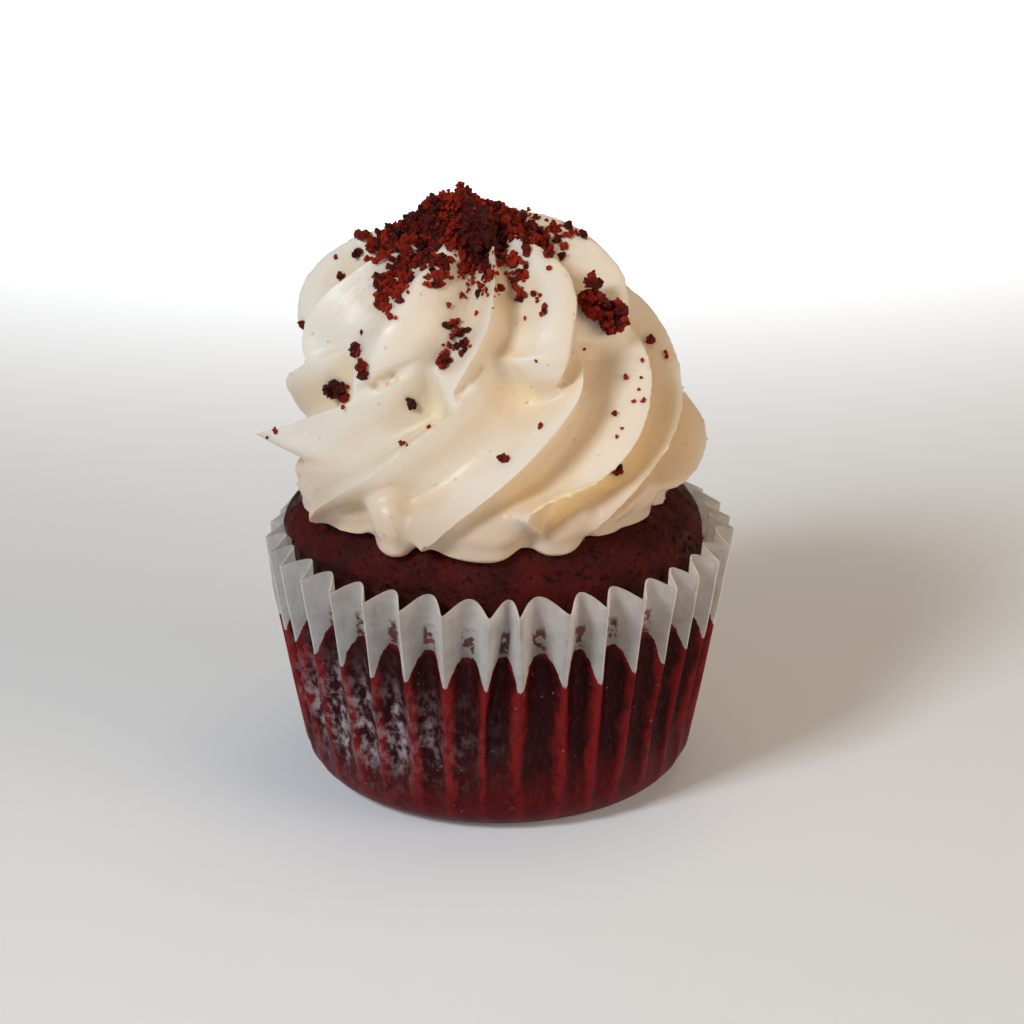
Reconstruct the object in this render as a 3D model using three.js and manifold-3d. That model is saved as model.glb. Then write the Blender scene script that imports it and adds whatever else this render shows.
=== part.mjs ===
// A frosted cupcake in a pleated paper case, in millimetres, +Z up.
// The origin is the centre of the case's flat bottom, on the table. The front looks along -Y.
// Azimuths are in degrees, from 0 at the front to 90 at the right (+X).
import * as THREE from "three";
import { mergeVertices } from "three/addons/utils/BufferGeometryUtils.js";
import Module from "manifold-3d";

// ---- Driving dimensions ----------------------------------------------------------------------

const CLEARANCE = 0.3; // between pieces that touch

// The paper case: a flat disc pleated into a cup.
const PLEATS = 36;
const FIRST_FOLD = -3.2; // azimuth of an outer fold
const CASE_FLAT_RADIUS = 21.0; // flat bottom
const CASE_CORNER_RADIUS = 6.3; // rounded turn from bottom to wall
const CASE_HEIGHT = 34.4;
const CASE_LEAN = THREE.MathUtils.degToRad(11.2); // of the wall, outwards
const CASE_OVAL = 0.012; // share by which the rim is deeper than it is wide
const PAPER = 0.4; // wall of the solid; the sheet itself is far thinner
const FOLD_SHARE = 0.72; // rounded folds are this much as deep as sharp ones
const FOLD_ROUND = 0.66; // place of a pleat's halfway points, from outer fold to inner fold
const RIM_WAVER = 0.9; // height by which the inner folds stand above the outer ones
const NIP = { azimuth: -132, from: 27, depth: 2.6 }; // where the rim is pressed inwards

// The sponge: it fills the case to the inner folds and domes over its rim.
const CAKE_FLOOR = PAPER + CLEARANCE;
const CAKE_OFFSET = -0.1; // of its dome, along X
const CAKE_OUTLINE = [
  [0, 45.6],
  [10, 45.0],
  [18, 43.5],
  [23, 41.8],
  [26, 39.5],
  [27.9, 36.6],
  [28.5, 33.4],
];
const CAKE_COLUMNS = 44;
const CAKE_DOME_STEPS = 7;

// The cream, piped with a ten-point nozzle in three turns: a squashed foot of round lobes, a wide
// lower turn and a dome. Each outline runs from the axis down the crests. Each ridge has the
// azimuths of its crest at the turn's levels, the place of the valley after it, from 0 at this
// crest to 1 at the next, and how far its crest stands out from the outline at the levels.
const FOOT = {
  centre: [-2.0, -0.6],
  outline: [
    [0, 52],
    [20, 50],
    [26.2, 47.5],
    [27.9, 44.6],
    [27.4, 41.8],
    [24.5, 39.2],
    [0, 36.5],
  ],
  depth: 2.8,
  depthFrom: [8, 22],
  flank: [0, 0.6, 0.9],
  round: true,
  rise: 0,
  tilt: 0,
  levels: [47.5, 44.5, 41.5],
  ridges: [
    { azimuths: [-64, -58, -54], valley: 0.66 },
    { azimuths: [-29, -26, -25], valley: 0.4 },
    { azimuths: [8, 4, 2], valley: 0.55 },
    { azimuths: [34, 26, 22], valley: 0.24 },
    { azimuths: [60, 50, 42], valley: 0.5 },
    { azimuths: [95, 84, 76], valley: 0.5 },
    { azimuths: [131, 120, 112], valley: 0.5 },
    { azimuths: [168, 157, 149], valley: 0.5 },
    { azimuths: [205, 194, 186], valley: 0.5 },
    { azimuths: [241, 230, 222], valley: 0.5, reach: [-0.5, -0.5, -0.5] },
    { azimuths: [272, 264, 258], valley: 0.5, reach: [-3, -3.4, -3.4] },
  ],
};
const LOWER = {
  centre: [-2.0, -0.3],
  outline: [
    [0, 69],
    [12, 68],
    [18, 65.5],
    [23.3, 61],
    [27, 56],
    [29, 51],
    [29.6, 46.6],
    [28.2, 43.4],
    [24, 42],
    [0, 42],
  ],
  depth: 5.2,
  depthFrom: [8, 22],
  flank: [0, 0.35, 0.72],
  round: false,
  rise: 3.6,
  tilt: 0,
  levels: [65, 61, 57, 53, 49, 45.5, 42.5],
  ridges: [
    {
      azimuths: [-50, -66, -82, -95, -107, -118, -127],
      valley: 0.5,
      reach: [0, 1.2, 0.6, -2.2, -3, -3, -3],
    },
    {
      azimuths: [-18, -33, -52, -68, -83, -94, -103],
      valley: 0.66,
      reach: [0, 0, 0, 0.2, 1.6, -4.2, -5.5],
    },
    { azimuths: [3.5, -5.5, -16, -25.5, -35, -45, -54], valley: 0.46 },
    { azimuths: [42.5, 35, 22, 11, 1, -8, -16], valley: 0.3 },
    {
      azimuths: [78, 71.5, 58, 46, 25, 9, 5],
      valley: 0.45,
      reach: [0, 0, 0, 0, 0, -1.2, -3],
    },
    {
      azimuths: [112, 103, 90, 69, 54, 44, 38],
      valley: 0.5,
      reach: [1.6, 1.2, 0.3, 0, -0.5, -2.5, -4],
    },
    {
      azimuths: [143, 131, 118, 100, 82, 68, 60],
      valley: 0.5,
      reach: [1, 0.2, -1.6, -1, 1.4, 0.4, -2.5],
    },
    { azimuths: [177, 168, 155, 138, 122, 109, 101], valley: 0.5 },
    { azimuths: [214, 205, 192, 175, 159, 146, 138], valley: 0.5 },
    { azimuths: [253, 244, 231, 214, 198, 185, 177], valley: 0.5 },
  ],
};
const UPPER = {
  centre: [-4.6, 0],
  outline: [
    [0, 78.6],
    [7, 77.9],
    [13, 76.2],
    [18, 73.4],
    [21.4, 70],
    [22.9, 66],
    [22.7, 61.8],
    [20.6, 58.6],
    [15, 57.2],
    [0, 57.2],
  ],
  depth: 4.8,
  depthFrom: [2, 17],
  flank: [0, 0.35, 0.72],
  round: false,
  rise: 0,
  tilt: 0.09,
  levels: [77.5, 74, 70.5, 67, 63, 59.5],
  ridges: [
    { azimuths: [-92, -96, -98, -99, -100, -101], valley: 0.5, reach: [1, 1.5, 1, 0.3, -0.5, -3] },
    { azimuths: [-55, -65, -69, -70, -66, -62], valley: 0.5, reach: [0, 0, 0, 0, -0.6, -3.6] },
    { azimuths: [-16, -24, -27.5, -31, -36, -40], valley: 0.76, reach: [0, 0, 0, 0, 0, -2.4] },
    { azimuths: [25, 14.5, 10.5, 5.5, -1, -6], valley: 0.3, reach: [0, 0, 0, 0, 0, -1.6] },
    { azimuths: [50, 51.5, 45, 38.5, 34.5, 32], valley: 0.42, reach: [0, 0, 0, 0, 0.4, -3] },
    { azimuths: [97, 92, 85, 78, 74, 70], valley: 0.5 },
    { azimuths: [129, 124, 120, 117, 114, 110], valley: 0.5 },
    { azimuths: [163, 158, 155, 152, 149, 145], valley: 0.5 },
    { azimuths: [199, 194, 191, 188, 185, 181], valley: 0.5 },
    { azimuths: [235, 230, 227, 224, 221, 217], valley: 0.5 },
  ],
};
const SHOULDER = 1.5; // how full a ridge is on the side before its crest; 1 is as lean as behind it
const RISE = { from: 46, over: 20, azimuth: 112, reach: 29 }; // where a turn climbs onto the next
const STEPS_DOWN = 14; // rings of faces from the axis to the underside
const SMALLEST_STEP = 0.03; // steps in the cream's surface under this size are smoothed away

// The crumbs: a heap on the summit with a tongue down one valley, a broken clump that leans on
// the cream, and groups of loose ones. A group is [azimuth, elevation seen from FOCUS, spread in
// degrees, number, radius].
const FOCUS = [-4.6, 0, 60];
const HEAP = {
  centre: [-1.8, -0.5],
  lean: -0.16, // the peak leans along X by this much for each millimetre of height
  across: [1, 0.8], // width along X and Y over the outline's radius
  outline: [
    [0, 71],
    [9, 71],
    [11, 75.4],
    [9, 78.2],
    [6, 80.4],
    [2.8, 81.9],
    [0, 82.3],
  ],
  columns: 14,
  crumbs: 40,
  radius: [1.0, 1.6],
};
const TONGUE = { azimuth: -43, from: 9, to: 17.5, crumbs: 8, radius: 1.6 };
const CLUMP = {
  at: [14.6, -8.6, 68.2],
  lumps: [
    [-2.6, 0.2, 2.9, 1.4],
    [-0.9, 0, 0.9, 2.2],
    [0.9, -0.4, -1.4, 2.7],
  ],
};
const CRUMB_GROUPS = [
  [-44, 12, 4, 3, 1.0],
  [-38, 6, 3, 2, 0.9],
  [-60, -6, 3, 3, 1.5],
  [-75, -4, 0, 1, 0.7],
  [-86, 38, 6, 2, 0.9],
  [-8, 13, 4, 3, 1.2],
  [-1, 24, 4, 3, 0.8],
  [17, 50, 6, 3, 0.8],
  [38, 46, 6, 3, 0.9],
  [35, 30, 5, 4, 0.8],
  [93, 48, 3, 2, 1.1],
  [94, 0, 5, 2, 0.8],
  [60, -2, 7, 4, 0.7],
  [42, -16, 0, 1, 1.1],
  [-20, -3, 0, 1, 0.9],
  [-16, -10, 0, 1, 0.8],
  [12, -14, 0, 1, 0.7],
  [24, -6, 0, 1, 0.7],
  [150, 30, 14, 4, 0.9],
  [215, 28, 14, 4, 0.9],
];
const FINE_CRUMB = 0.95; // radius under which a crumb has eight sides in place of twenty
const SEED = 7;

// ---- Small tools -----------------------------------------------------------------------------

const wasm = await Module();
wasm.setup();

const fromFront = (azimuth) => THREE.MathUtils.degToRad(azimuth - 90); // angle about +Z
const clamp01 = (x) => Math.min(1, Math.max(0, x));
const between = ([low, high], share) => low + (high - low) * share;
const points2 = (pairs) => pairs.map(([radius, height]) => new THREE.Vector2(radius, height));

/** A repeatable source of random numbers from 0 to 1. */
function randomSource(seed) {
  let state = seed;
  return () => {
    state = (Math.imul(state, 1664525) + 1013904223) >>> 0;
    return state / 4294967296;
  };
}

/** The value, at a place, of a smooth curve through values at rising places, level beyond them. */
function smoothValue(places, values, place) {
  const last = places.length - 1;
  const slope = (i) => {
    const [a, b] = [Math.max(i - 1, 0), Math.min(i + 1, last)];
    return (values[b] - values[a]) / (places[b] - places[a]);
  };
  if (place <= places[0]) return values[0];
  if (place >= places[last]) return values[last];
  const i = places.findIndex((next) => next > place) - 1;
  const width = places[i + 1] - places[i];
  const t = (place - places[i]) / width;
  const rise = values[i + 1] - values[i];
  const [leave, arrive] = [slope(i) * width - rise, slope(i + 1) * width - rise];
  return values[i] + rise * t + t * (1 - t) * (leave * (1 - t) - arrive * t);
}

/** A geometry with only its positions, those that coincide merged and flat faces left out. */
function welded(geometry) {
  const bare = geometry.clone();
  bare.deleteAttribute("normal");
  bare.deleteAttribute("uv");
  const merged = mergeVertices(bare, 1e-4);
  const corners = merged.index.array;
  const kept = [];
  for (let i = 0; i < corners.length; i += 3) {
    const [a, b, c] = corners.slice(i, i + 3);
    if (a !== b && b !== c && c !== a) kept.push(a, b, c);
  }
  return merged.setIndex(kept);
}

/** A closed geometry as a solid for joining and cutting. */
function toSolid(geometry) {
  const { attributes, index } = welded(geometry);
  const vertProperties = new Float32Array(attributes.position.array);
  const triVerts = new Uint32Array(index.array);
  return new wasm.Manifold(new wasm.Mesh({ numProp: 3, vertProperties, triVerts }));
}

/** A solid's surface as a geometry. */
function toGeometry(solid) {
  const { vertProperties, triVerts } = solid.getMesh();
  return new THREE.BufferGeometry()
    .setAttribute("position", new THREE.BufferAttribute(vertProperties, 3))
    .setIndex(new THREE.BufferAttribute(triVerts, 1));
}

/** The largest body of a solid, without the loose scraps that a cut leaves. */
function largestBody(solid) {
  const bodies = solid.decompose();
  return bodies.reduce((best, body) => (body.volume() > best.volume() ? body : best));
}

/** Turns a profile of [radius, height], listed from the bottom up, about +Z, then moves each point
 *  to place(column, row). */
function turned(profile, columns, place) {
  const geometry = new THREE.LatheGeometry(points2(profile), columns);
  const { position } = geometry.attributes;
  for (let column = 0; column <= columns; column++)
    for (let row = 0; row < profile.length; row++)
      position.setXYZ(column * profile.length + row, ...place(column % columns, row));
  return geometry;
}

/** The first point of a mesh that a ray meets. */
function firstHit(mesh, from, towards) {
  const ray = new THREE.Raycaster(from, towards.clone().sub(from).normalize());
  return ray.intersectObject(mesh)[0]?.point;
}

/** A mesh of a geometry for finding points on it. */
function probe(geometry) {
  return new THREE.Mesh(geometry, new THREE.MeshBasicMaterial({ side: THREE.DoubleSide }));
}

// ---- The paper case --------------------------------------------------------------------------

/** Rows of the cup's outline from the middle of the bottom to the rim: radius, height, the
 *  outline's outward normal and the length of paper from the middle. */
function caseRows() {
  const cornerSteps = 3;
  const wallSteps = 2;
  const cornerTurn = Math.PI / 2 - CASE_LEAN;
  const rows = [
    { r: 0, z: 0, nr: 0, nz: -1, s: 0 },
    { r: CASE_FLAT_RADIUS, z: 0, nr: 0, nz: -1, s: CASE_FLAT_RADIUS },
  ];
  for (let i = 1; i <= cornerSteps; i++) {
    const turn = (cornerTurn * i) / cornerSteps;
    const nr = Math.sin(turn);
    const nz = -Math.cos(turn);
    const r = CASE_FLAT_RADIUS + CASE_CORNER_RADIUS * nr;
    const z = CASE_CORNER_RADIUS * (1 + nz);
    rows.push({ r, z, nr, nz, s: CASE_FLAT_RADIUS + CASE_CORNER_RADIUS * turn });
  }
  const corner = rows.at(-1);
  const wall = (CASE_HEIGHT - corner.z) / Math.cos(CASE_LEAN);
  for (let i = 1; i <= wallSteps; i++) {
    const along = (wall * i) / wallSteps;
    const r = corner.r + along * Math.sin(CASE_LEAN);
    const z = corner.z + along * Math.cos(CASE_LEAN);
    rows.push({ ...corner, r, z, s: corner.s + along });
  }
  return rows;
}

/** How deep the pleats are on a row: they take up what a flat disc has over the cup's girth. */
function pleatDepth({ r, s }) {
  return ((FOLD_SHARE * Math.PI) / PLEATS) * Math.sqrt(Math.max(0, s * s - r * r));
}

/** How far the rim is pressed inwards at an angle about +Z and a height. */
function nip(angle, z) {
  const towards = Math.max(0, Math.cos(angle - fromFront(NIP.azimuth)));
  return NIP.depth * towards ** 4 * clamp01((z - NIP.from) / (CASE_HEIGHT - NIP.from));
}

/** The cup pressed from one pleated sheet, closed round both faces and the rim. */
function paperCase() {
  const folds = [0, FOLD_ROUND, 1, FOLD_ROUND]; // 0 on an outer fold, 1 on an inner one
  const columns = PLEATS * folds.length;
  const outside = caseRows().map((row) => ({ ...row, inset: 0 }));
  const inside = caseRows().map((row) => ({ ...row, inset: PAPER }));
  const rows = [...outside, ...inside.reverse()];
  return turned(rows.map(({ r, z }) => [r, z]), columns, (column, index) => {
    const row = rows[index];
    const fold = folds[column % folds.length];
    const angle = fromFront(FIRST_FOLD + (360 * column) / columns);
    const up = (row.z / CASE_HEIGHT) ** 2;
    const pressed = nip(angle, row.z) * (1 - fold);
    const inwards = row.inset + pleatDepth(row) * fold + pressed;
    const radius = Math.max(0, row.r - row.nr * inwards);
    return [
      radius * Math.cos(angle) * (1 - CASE_OVAL * up),
      radius * Math.sin(angle) * (1 + CASE_OVAL * up),
      row.z - row.nz * row.inset + RIM_WAVER * fold * up ** 2,
    ];
  });
}

// ---- The sponge ------------------------------------------------------------------------------

/** The sponge's half outline, from the middle of its underside to the dome's top, grown by a gap. */
function cakeProfile(grow) {
  const dome = new THREE.SplineCurve(points2(CAKE_OUTLINE))
    .getPoints(CAKE_DOME_STEPS)
    .map(({ x, y }) => [x === 0 ? 0 : x + grow, y + grow]);
  const sides = caseRows()
    .slice(1)
    .filter(({ z }) => z < CASE_HEIGHT - 4)
    .map((row) => {
      const radius = row.r - row.nr * (PAPER + CLEARANCE + pleatDepth(row)) + grow;
      const height = Math.max(CAKE_FLOOR, row.z - row.nz * (PAPER + CLEARANCE)) - grow;
      return [radius * (1 - CASE_OVAL / 2), height];
    });
  return [[0, CAKE_FLOOR - grow], ...sides, ...dome.reverse()];
}

/** The sponge inside the case, with its domed top. */
function sponge(grow = 0) {
  const profile = cakeProfile(grow);
  return turned(profile, CAKE_COLUMNS, (column, row) => {
    const [radius, height] = profile[row];
    const angle = fromFront((360 * column) / CAKE_COLUMNS);
    const offset = CAKE_OFFSET * clamp01((height - 30) / 6);
    return [offset + radius * Math.cos(angle), radius * Math.sin(angle), height];
  });
}

// ---- The cream -------------------------------------------------------------------------------

/** Rows of a turn's outline: radius, height, outward normal and length from the axis. */
function turnRows({ outline }) {
  const curve = new THREE.SplineCurve(points2(outline));
  const length = curve.getLength();
  return Array.from({ length: STEPS_DOWN + 1 }, (_, i) => {
    const share = i / STEPS_DOWN;
    const point = curve.getPointAt(share);
    const along = curve.getTangentAt(share);
    const pole = i === 0 || i === STEPS_DOWN;
    const r = pole ? 0 : Math.max(0, point.x);
    return { r, z: point.y, nr: pole ? 0 : -along.y, nz: along.x, s: share * length, pole };
  });
}

/** The length from the axis at which the outline comes down to a level. */
function lengthAtLevel(rows, level) {
  const below = rows.findIndex(({ z, s }) => z <= level && s > 0);
  const [a, b] = [rows[below - 1], rows[below]];
  return a.s + ((b.s - a.s) * (a.z - level)) / (a.z - b.z);
}

/** How far inwards of its crest's level a point of a ridge lies, as a share of the depth. */
function ridgeFall({ round }, flank, before) {
  if (round) return 1 - Math.sqrt(1 - flank * flank);
  return Math.sin((Math.PI / 2) * flank) ** (before ? SHOULDER : 1);
}

/** Columns of a turn. Each has its azimuth and its reach at the turn's levels, and its fall. */
function ridgeColumns(turn) {
  const { ridges, levels, flank: steps } = turn;
  const none = levels.map(() => 0);
  return ridges.flatMap((ridge, i) => {
    const wraps = i + 1 === ridges.length;
    const next = ridges[(i + 1) % ridges.length];
    const column = (share, flank, before) => ({
      azimuths: ridge.azimuths.map((azimuth, k) => {
        return between([azimuth, next.azimuths[k] + (wraps ? 360 : 0)], share);
      }),
      reach: ((before ? next : ridge).reach ?? none).map((out) => out * (1 - flank)),
      fall: ridgeFall(turn, flank, before),
    });
    const down = steps.map((step) => column(ridge.valley * step, step, false));
    const up = steps.slice(1).map((step) => column(1 - (1 - ridge.valley) * step, step, true));
    return [...down, column(ridge.valley, 1, false), ...up.reverse()];
  });
}

/** One turn of piped cream: crests that sweep round as they run down, valleys between. */
function creamTurn(turn, grow = 0) {
  const downwards = turnRows(turn);
  const places = turn.levels.map((level) => lengthAtLevel(downwards, level));
  const rows = downwards.reverse();
  const columns = ridgeColumns(turn);
  const [from, to] = turn.depthFrom;
  const riseAngle = fromFront(RISE.azimuth);
  return turned(rows.map(({ r, z }) => [r, z]), columns.length, (column, row) => {
    const { r, z, nr, nz, s, pole } = rows[row];
    const { azimuths, reach, fall } = columns[column];
    const shown = pole ? 0 : clamp01((s - from) / (to - from));
    const out = pole ? 0 : smoothValue(places, reach, s);
    const outwards = grow + out - turn.depth * shown * fall;
    const angle = fromFront(smoothValue(places, azimuths, s));
    const radius = pole ? 0 : Math.max(0.2, r + nr * outwards);
    const x = radius * Math.cos(angle);
    const y = radius * Math.sin(angle);
    const side = clamp01((x * Math.cos(riseAngle) + y * Math.sin(riseAngle)) / RISE.reach);
    const climb = turn.rise * clamp01((z - RISE.from) / RISE.over) * side ** 1.5;
    const height = z + nz * outwards + climb + turn.tilt * x;
    return [turn.centre[0] + x, turn.centre[1] + y, height];
  });
}

/** The piped cream as one solid, cut to sit on the sponge. */
function creamSolid(grow = 0) {
  const turns = [FOOT, LOWER, UPPER].map((turn) => toSolid(creamTurn(turn, grow)));
  const seat = toSolid(sponge(CLEARANCE - grow));
  return largestBody(wasm.Manifold.union(turns).subtract(seat));
}

// ---- The crumbs ------------------------------------------------------------------------------

/** One broken crumb: a small lump with uneven corners. */
function crumb(random, at, radius) {
  const Lump = radius < FINE_CRUMB ? THREE.OctahedronGeometry : THREE.IcosahedronGeometry;
  const geometry = welded(new Lump(radius, 0));
  const { position } = geometry.attributes;
  const stretch = new THREE.Vector3(random(), random(), random()).multiplyScalar(0.5).addScalar(0.75);
  const turn = new THREE.Euler(6 * random(), 6 * random(), 6 * random());
  const corner = new THREE.Vector3();
  for (let i = 0; i < position.count; i++) {
    corner.fromBufferAttribute(position, i).multiplyScalar(0.8 + 0.4 * random());
    corner.multiply(stretch).applyEuler(turn).add(at);
    position.setXYZ(i, corner.x, corner.y, corner.z);
  }
  return toSolid(geometry);
}

/** The core of the heap: a leaning mound. */
function heapCore() {
  const { centre, lean, across, outline, columns } = HEAP;
  const base = outline[0][1];
  return turned(outline, columns, (column, row) => {
    const [radius, z] = outline[row];
    const angle = fromFront((360 * column) / columns);
    const x = centre[0] + lean * (z - base) + radius * across[0] * Math.cos(angle);
    return [x, centre[1] + radius * across[1] * Math.sin(angle), z];
  });
}

/** The heap on the summit: a mound with crumbs all over it and a tongue down one valley. */
function crumbHeap(random, cream, seat) {
  const { centre, across, outline, crumbs, radius } = HEAP;
  const core = heapCore();
  const mound = probe(core);
  const widest = Math.max(...outline.map(([r]) => r));
  const drop = (surface, x, y) =>
    firstHit(surface, new THREE.Vector3(x, y, 200), new THREE.Vector3(x, y, 0));
  const lumps = [toSolid(core)];
  for (let i = 0; i < crumbs; i++) {
    const out = widest * 0.97 * Math.sqrt((i + 0.5) / crumbs);
    const angle = i * Math.PI * (3 - Math.sqrt(5)); // an even spiral
    const x = centre[0] + out * across[0] * Math.cos(angle);
    const y = centre[1] + out * across[1] * Math.sin(angle);
    const at = drop(mound, x, y);
    if (at) lumps.push(crumb(random, at, between(radius, random())));
  }
  for (let i = 0; i < TONGUE.crumbs; i++) {
    const out = between([TONGUE.from, TONGUE.to], i / (TONGUE.crumbs - 1));
    const angle = fromFront(TONGUE.azimuth + 8 * (random() - 0.5));
    const x = UPPER.centre[0] + out * Math.cos(angle);
    const y = UPPER.centre[1] + out * Math.sin(angle);
    const at = drop(cream, x, y);
    at.z += TONGUE.radius / 3;
    lumps.push(crumb(random, at, TONGUE.radius));
  }
  return largestBody(wasm.Manifold.union(lumps).subtract(seat));
}

/** The broken clump that leans on the cream at the right. */
function crumbClump(random, seat) {
  const lumps = CLUMP.lumps.map(([x, y, z, radius]) =>
    crumb(random, new THREE.Vector3(x, y, z).add(new THREE.Vector3(...CLUMP.at)), radius),
  );
  return largestBody(wasm.Manifold.union(lumps).subtract(seat));
}

/** Loose crumbs, sunk by half in the cream and clear of the other pieces. */
function looseCrumbs(random, cream, others) {
  const focus = new THREE.Vector3(...FOCUS);
  const lumps = [];
  for (const [azimuth, elevation, spread, count, radius] of CRUMB_GROUPS)
    for (let i = 0; i < count; i++) {
      const angle = fromFront(azimuth + spread * (2 * random() - 1));
      const up = THREE.MathUtils.degToRad(elevation + spread * (2 * random() - 1));
      const out = new THREE.Vector3(Math.cos(angle) * Math.cos(up), 0, Math.sin(up));
      out.y = Math.sin(angle) * Math.cos(up);
      const at = firstHit(cream, out.multiplyScalar(100).add(focus), focus);
      const lump = crumb(random, at, radius * between([0.75, 1.2], random()));
      if (others.every((other) => lump.intersect(other).isEmpty())) lumps.push(lump);
    }
  return lumps;
}

// ---- The whole -------------------------------------------------------------------------------

const material = (color, roughness) =>
  new THREE.MeshStandardMaterial({ color, roughness, metalness: 0 });
const PAPER_WHITE = material(0xd8d2c8, 0.7);
const SPONGE_RED = material(0x4a1214, 0.6);
const CREAM = material(0xf4ead6, 0.45);
const CRUMB_RED = material(0x6b1a14, 0.8);

function named(name, geometry, finish) {
  const mesh = new THREE.Mesh(geometry, finish);
  mesh.name = name;
  return mesh;
}

/** Every piece of the cupcake, in its place. */
function cupcake() {
  const random = randomSource(SEED);
  const bareCream = creamSolid();
  const cream = probe(toGeometry(bareCream));
  const seat = creamSolid(CLEARANCE);
  const heap = crumbHeap(random, cream, seat);
  const clump = crumbClump(random, seat);
  const keepOff = [heap, clump, toSolid(sponge(CLEARANCE))];
  const loose = looseCrumbs(random, cream, keepOff);
  const frosting = largestBody(wasm.Manifold.union([bareCream, ...loose]).simplify(SMALLEST_STEP));
  const group = new THREE.Group();
  group.add(
    named("paper_case", paperCase(), PAPER_WHITE),
    named("sponge", sponge(), SPONGE_RED),
    named("frosting", toGeometry(frosting), CREAM),
    named("crumb_heap", toGeometry(heap), CRUMB_RED),
    named("crumb_clump", toGeometry(clump), CRUMB_RED),
  );
  return group;
}

export default cupcake();
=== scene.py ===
"""A red cupcake with a piped cream swirl: its looks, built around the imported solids."""

import logging
import math
import random
from dataclasses import dataclass, field
from enum import Enum
from functools import partial, reduce
from typing import Sequence

import bpy
import numpy as np
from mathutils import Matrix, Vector, noise
from mathutils.bvhtree import BVHTree


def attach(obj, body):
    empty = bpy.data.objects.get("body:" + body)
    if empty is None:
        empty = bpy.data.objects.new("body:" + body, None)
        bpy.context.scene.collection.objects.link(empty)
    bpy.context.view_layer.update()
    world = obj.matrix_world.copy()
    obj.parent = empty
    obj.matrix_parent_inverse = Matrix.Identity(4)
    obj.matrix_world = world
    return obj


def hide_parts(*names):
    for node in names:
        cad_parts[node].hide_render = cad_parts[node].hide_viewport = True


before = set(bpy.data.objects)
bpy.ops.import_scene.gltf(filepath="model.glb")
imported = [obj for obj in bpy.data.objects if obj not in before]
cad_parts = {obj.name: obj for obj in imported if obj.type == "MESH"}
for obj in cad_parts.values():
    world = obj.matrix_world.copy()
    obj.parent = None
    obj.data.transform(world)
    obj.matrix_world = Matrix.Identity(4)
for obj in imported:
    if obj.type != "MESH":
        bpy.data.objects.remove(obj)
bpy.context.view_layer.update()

LOG = logging.getLogger("cupcake")
BODY = "root"
MM = 0.001
GOLDEN_ANGLE = math.pi * (3 - math.sqrt(5))

Pair = tuple[float, float]
Outline = tuple[Pair, ...]
Place = tuple[float, float, float]
Colour = tuple[float, float, float]
Piece = bpy.types.Object
Socket = bpy.types.NodeSocket
Crumb = tuple[Vector, float, float]  # a crumb's centre and radius in millimetres, and its tone


# ---- Hand tools --------------------------------------------------------------------------------


def deselect_all() -> None:
    """Leave object mode with nothing selected."""
    if bpy.context.object and bpy.context.object.mode != "OBJECT":
        bpy.ops.object.mode_set(mode="OBJECT")
    bpy.ops.object.select_all(action="DESELECT")


def pick(*pieces: Piece) -> None:
    """Select pieces and nothing else, the first of them active."""
    deselect_all()
    for piece in pieces:
        piece.select_set(True)
    bpy.context.view_layer.objects.active = pieces[0]


def take(name: str) -> Piece:
    """Name the piece that was just added, and hand it back."""
    piece = bpy.context.object
    piece.name = name
    piece.data.name = name
    return piece


def read(items: Sequence, key: str, width: int = 1, kind: type = np.float32) -> np.ndarray:
    """Read one property of all of a mesh's vertices, edges or stored numbers.

    Args:
        items: The vertices, edges or stored numbers.
        key: The property.
        width: How many numbers it has.
        kind: What the mesh stores them as.

    Returns:
        One row for each item.
    """
    flat = np.empty(len(items) * width, dtype=kind)
    items.foreach_get(key, flat)
    return flat.reshape(-1, width)


def read_points(piece: Piece) -> np.ndarray:
    """Read a mesh's vertices in metres, one row each."""
    return read(piece.data.vertices, "co", 3).astype(np.float64)


def read_normals(piece: Piece) -> np.ndarray:
    """Read a mesh's vertex normals, one row each."""
    return read(piece.data.vertices, "normal", 3).astype(np.float64)


def read_edges(piece: Piece) -> np.ndarray:
    """Read the first and the second vertex of each of a mesh's edges, as two rows."""
    return read(piece.data.edges, "vertices", 2, np.int32).T


def read_attribute(piece: Piece, name: str) -> np.ndarray:
    """Read a number that is stored for each vertex."""
    return read(piece.data.attributes[name].data, "value")[:, 0].astype(np.float64)


def write_points(piece: Piece, points: np.ndarray) -> None:
    """Move a mesh's vertices to points in metres, one row each."""
    piece.data.vertices.foreach_set("co", np.ascontiguousarray(points).ravel())
    piece.data.update()


def write_attribute(piece: Piece, name: str, values: np.ndarray) -> None:
    """Store one number for each vertex, which the material reads."""
    layer = piece.data.attributes.new(name, "FLOAT", "POINT")
    layer.data.foreach_set("value", np.ascontiguousarray(values, dtype=np.float32))


def add_ball(name: str, columns: int, rings: int) -> tuple[Piece, np.ndarray, np.ndarray]:
    """Add a ball that is then pulled into shape.

    Args:
        name: The piece's name.
        columns: Its columns of faces.
        rings: Its rings of faces.

    Returns:
        The ball and, for each vertex, its share of the way from top to bottom and its angle about +Z.
    """
    deselect_all()
    bpy.ops.mesh.primitive_uv_sphere_add(segments=columns, ring_count=rings, radius=1)
    piece = take(name)
    x, y, z = read_points(piece).T
    return piece, np.arccos(np.clip(z, -1, 1)) / math.pi, np.arctan2(y, x)


def blurred(piece: Piece, values: np.ndarray, times: int) -> np.ndarray:
    """Blur numbers over a mesh.

    Args:
        piece: The mesh piece.
        values: One number for each vertex.
        times: How often each vertex takes the mean of itself and its neighbours.

    Returns:
        The blurred numbers.
    """
    first, second = read_edges(piece)
    near = 1 + np.bincount(first, minlength=len(values)) + np.bincount(second, minlength=len(values))
    for _ in range(times):
        total = values + np.bincount(first, values[second], len(values))
        values = (total + np.bincount(second, values[first], len(values))) / near
    return values


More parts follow.
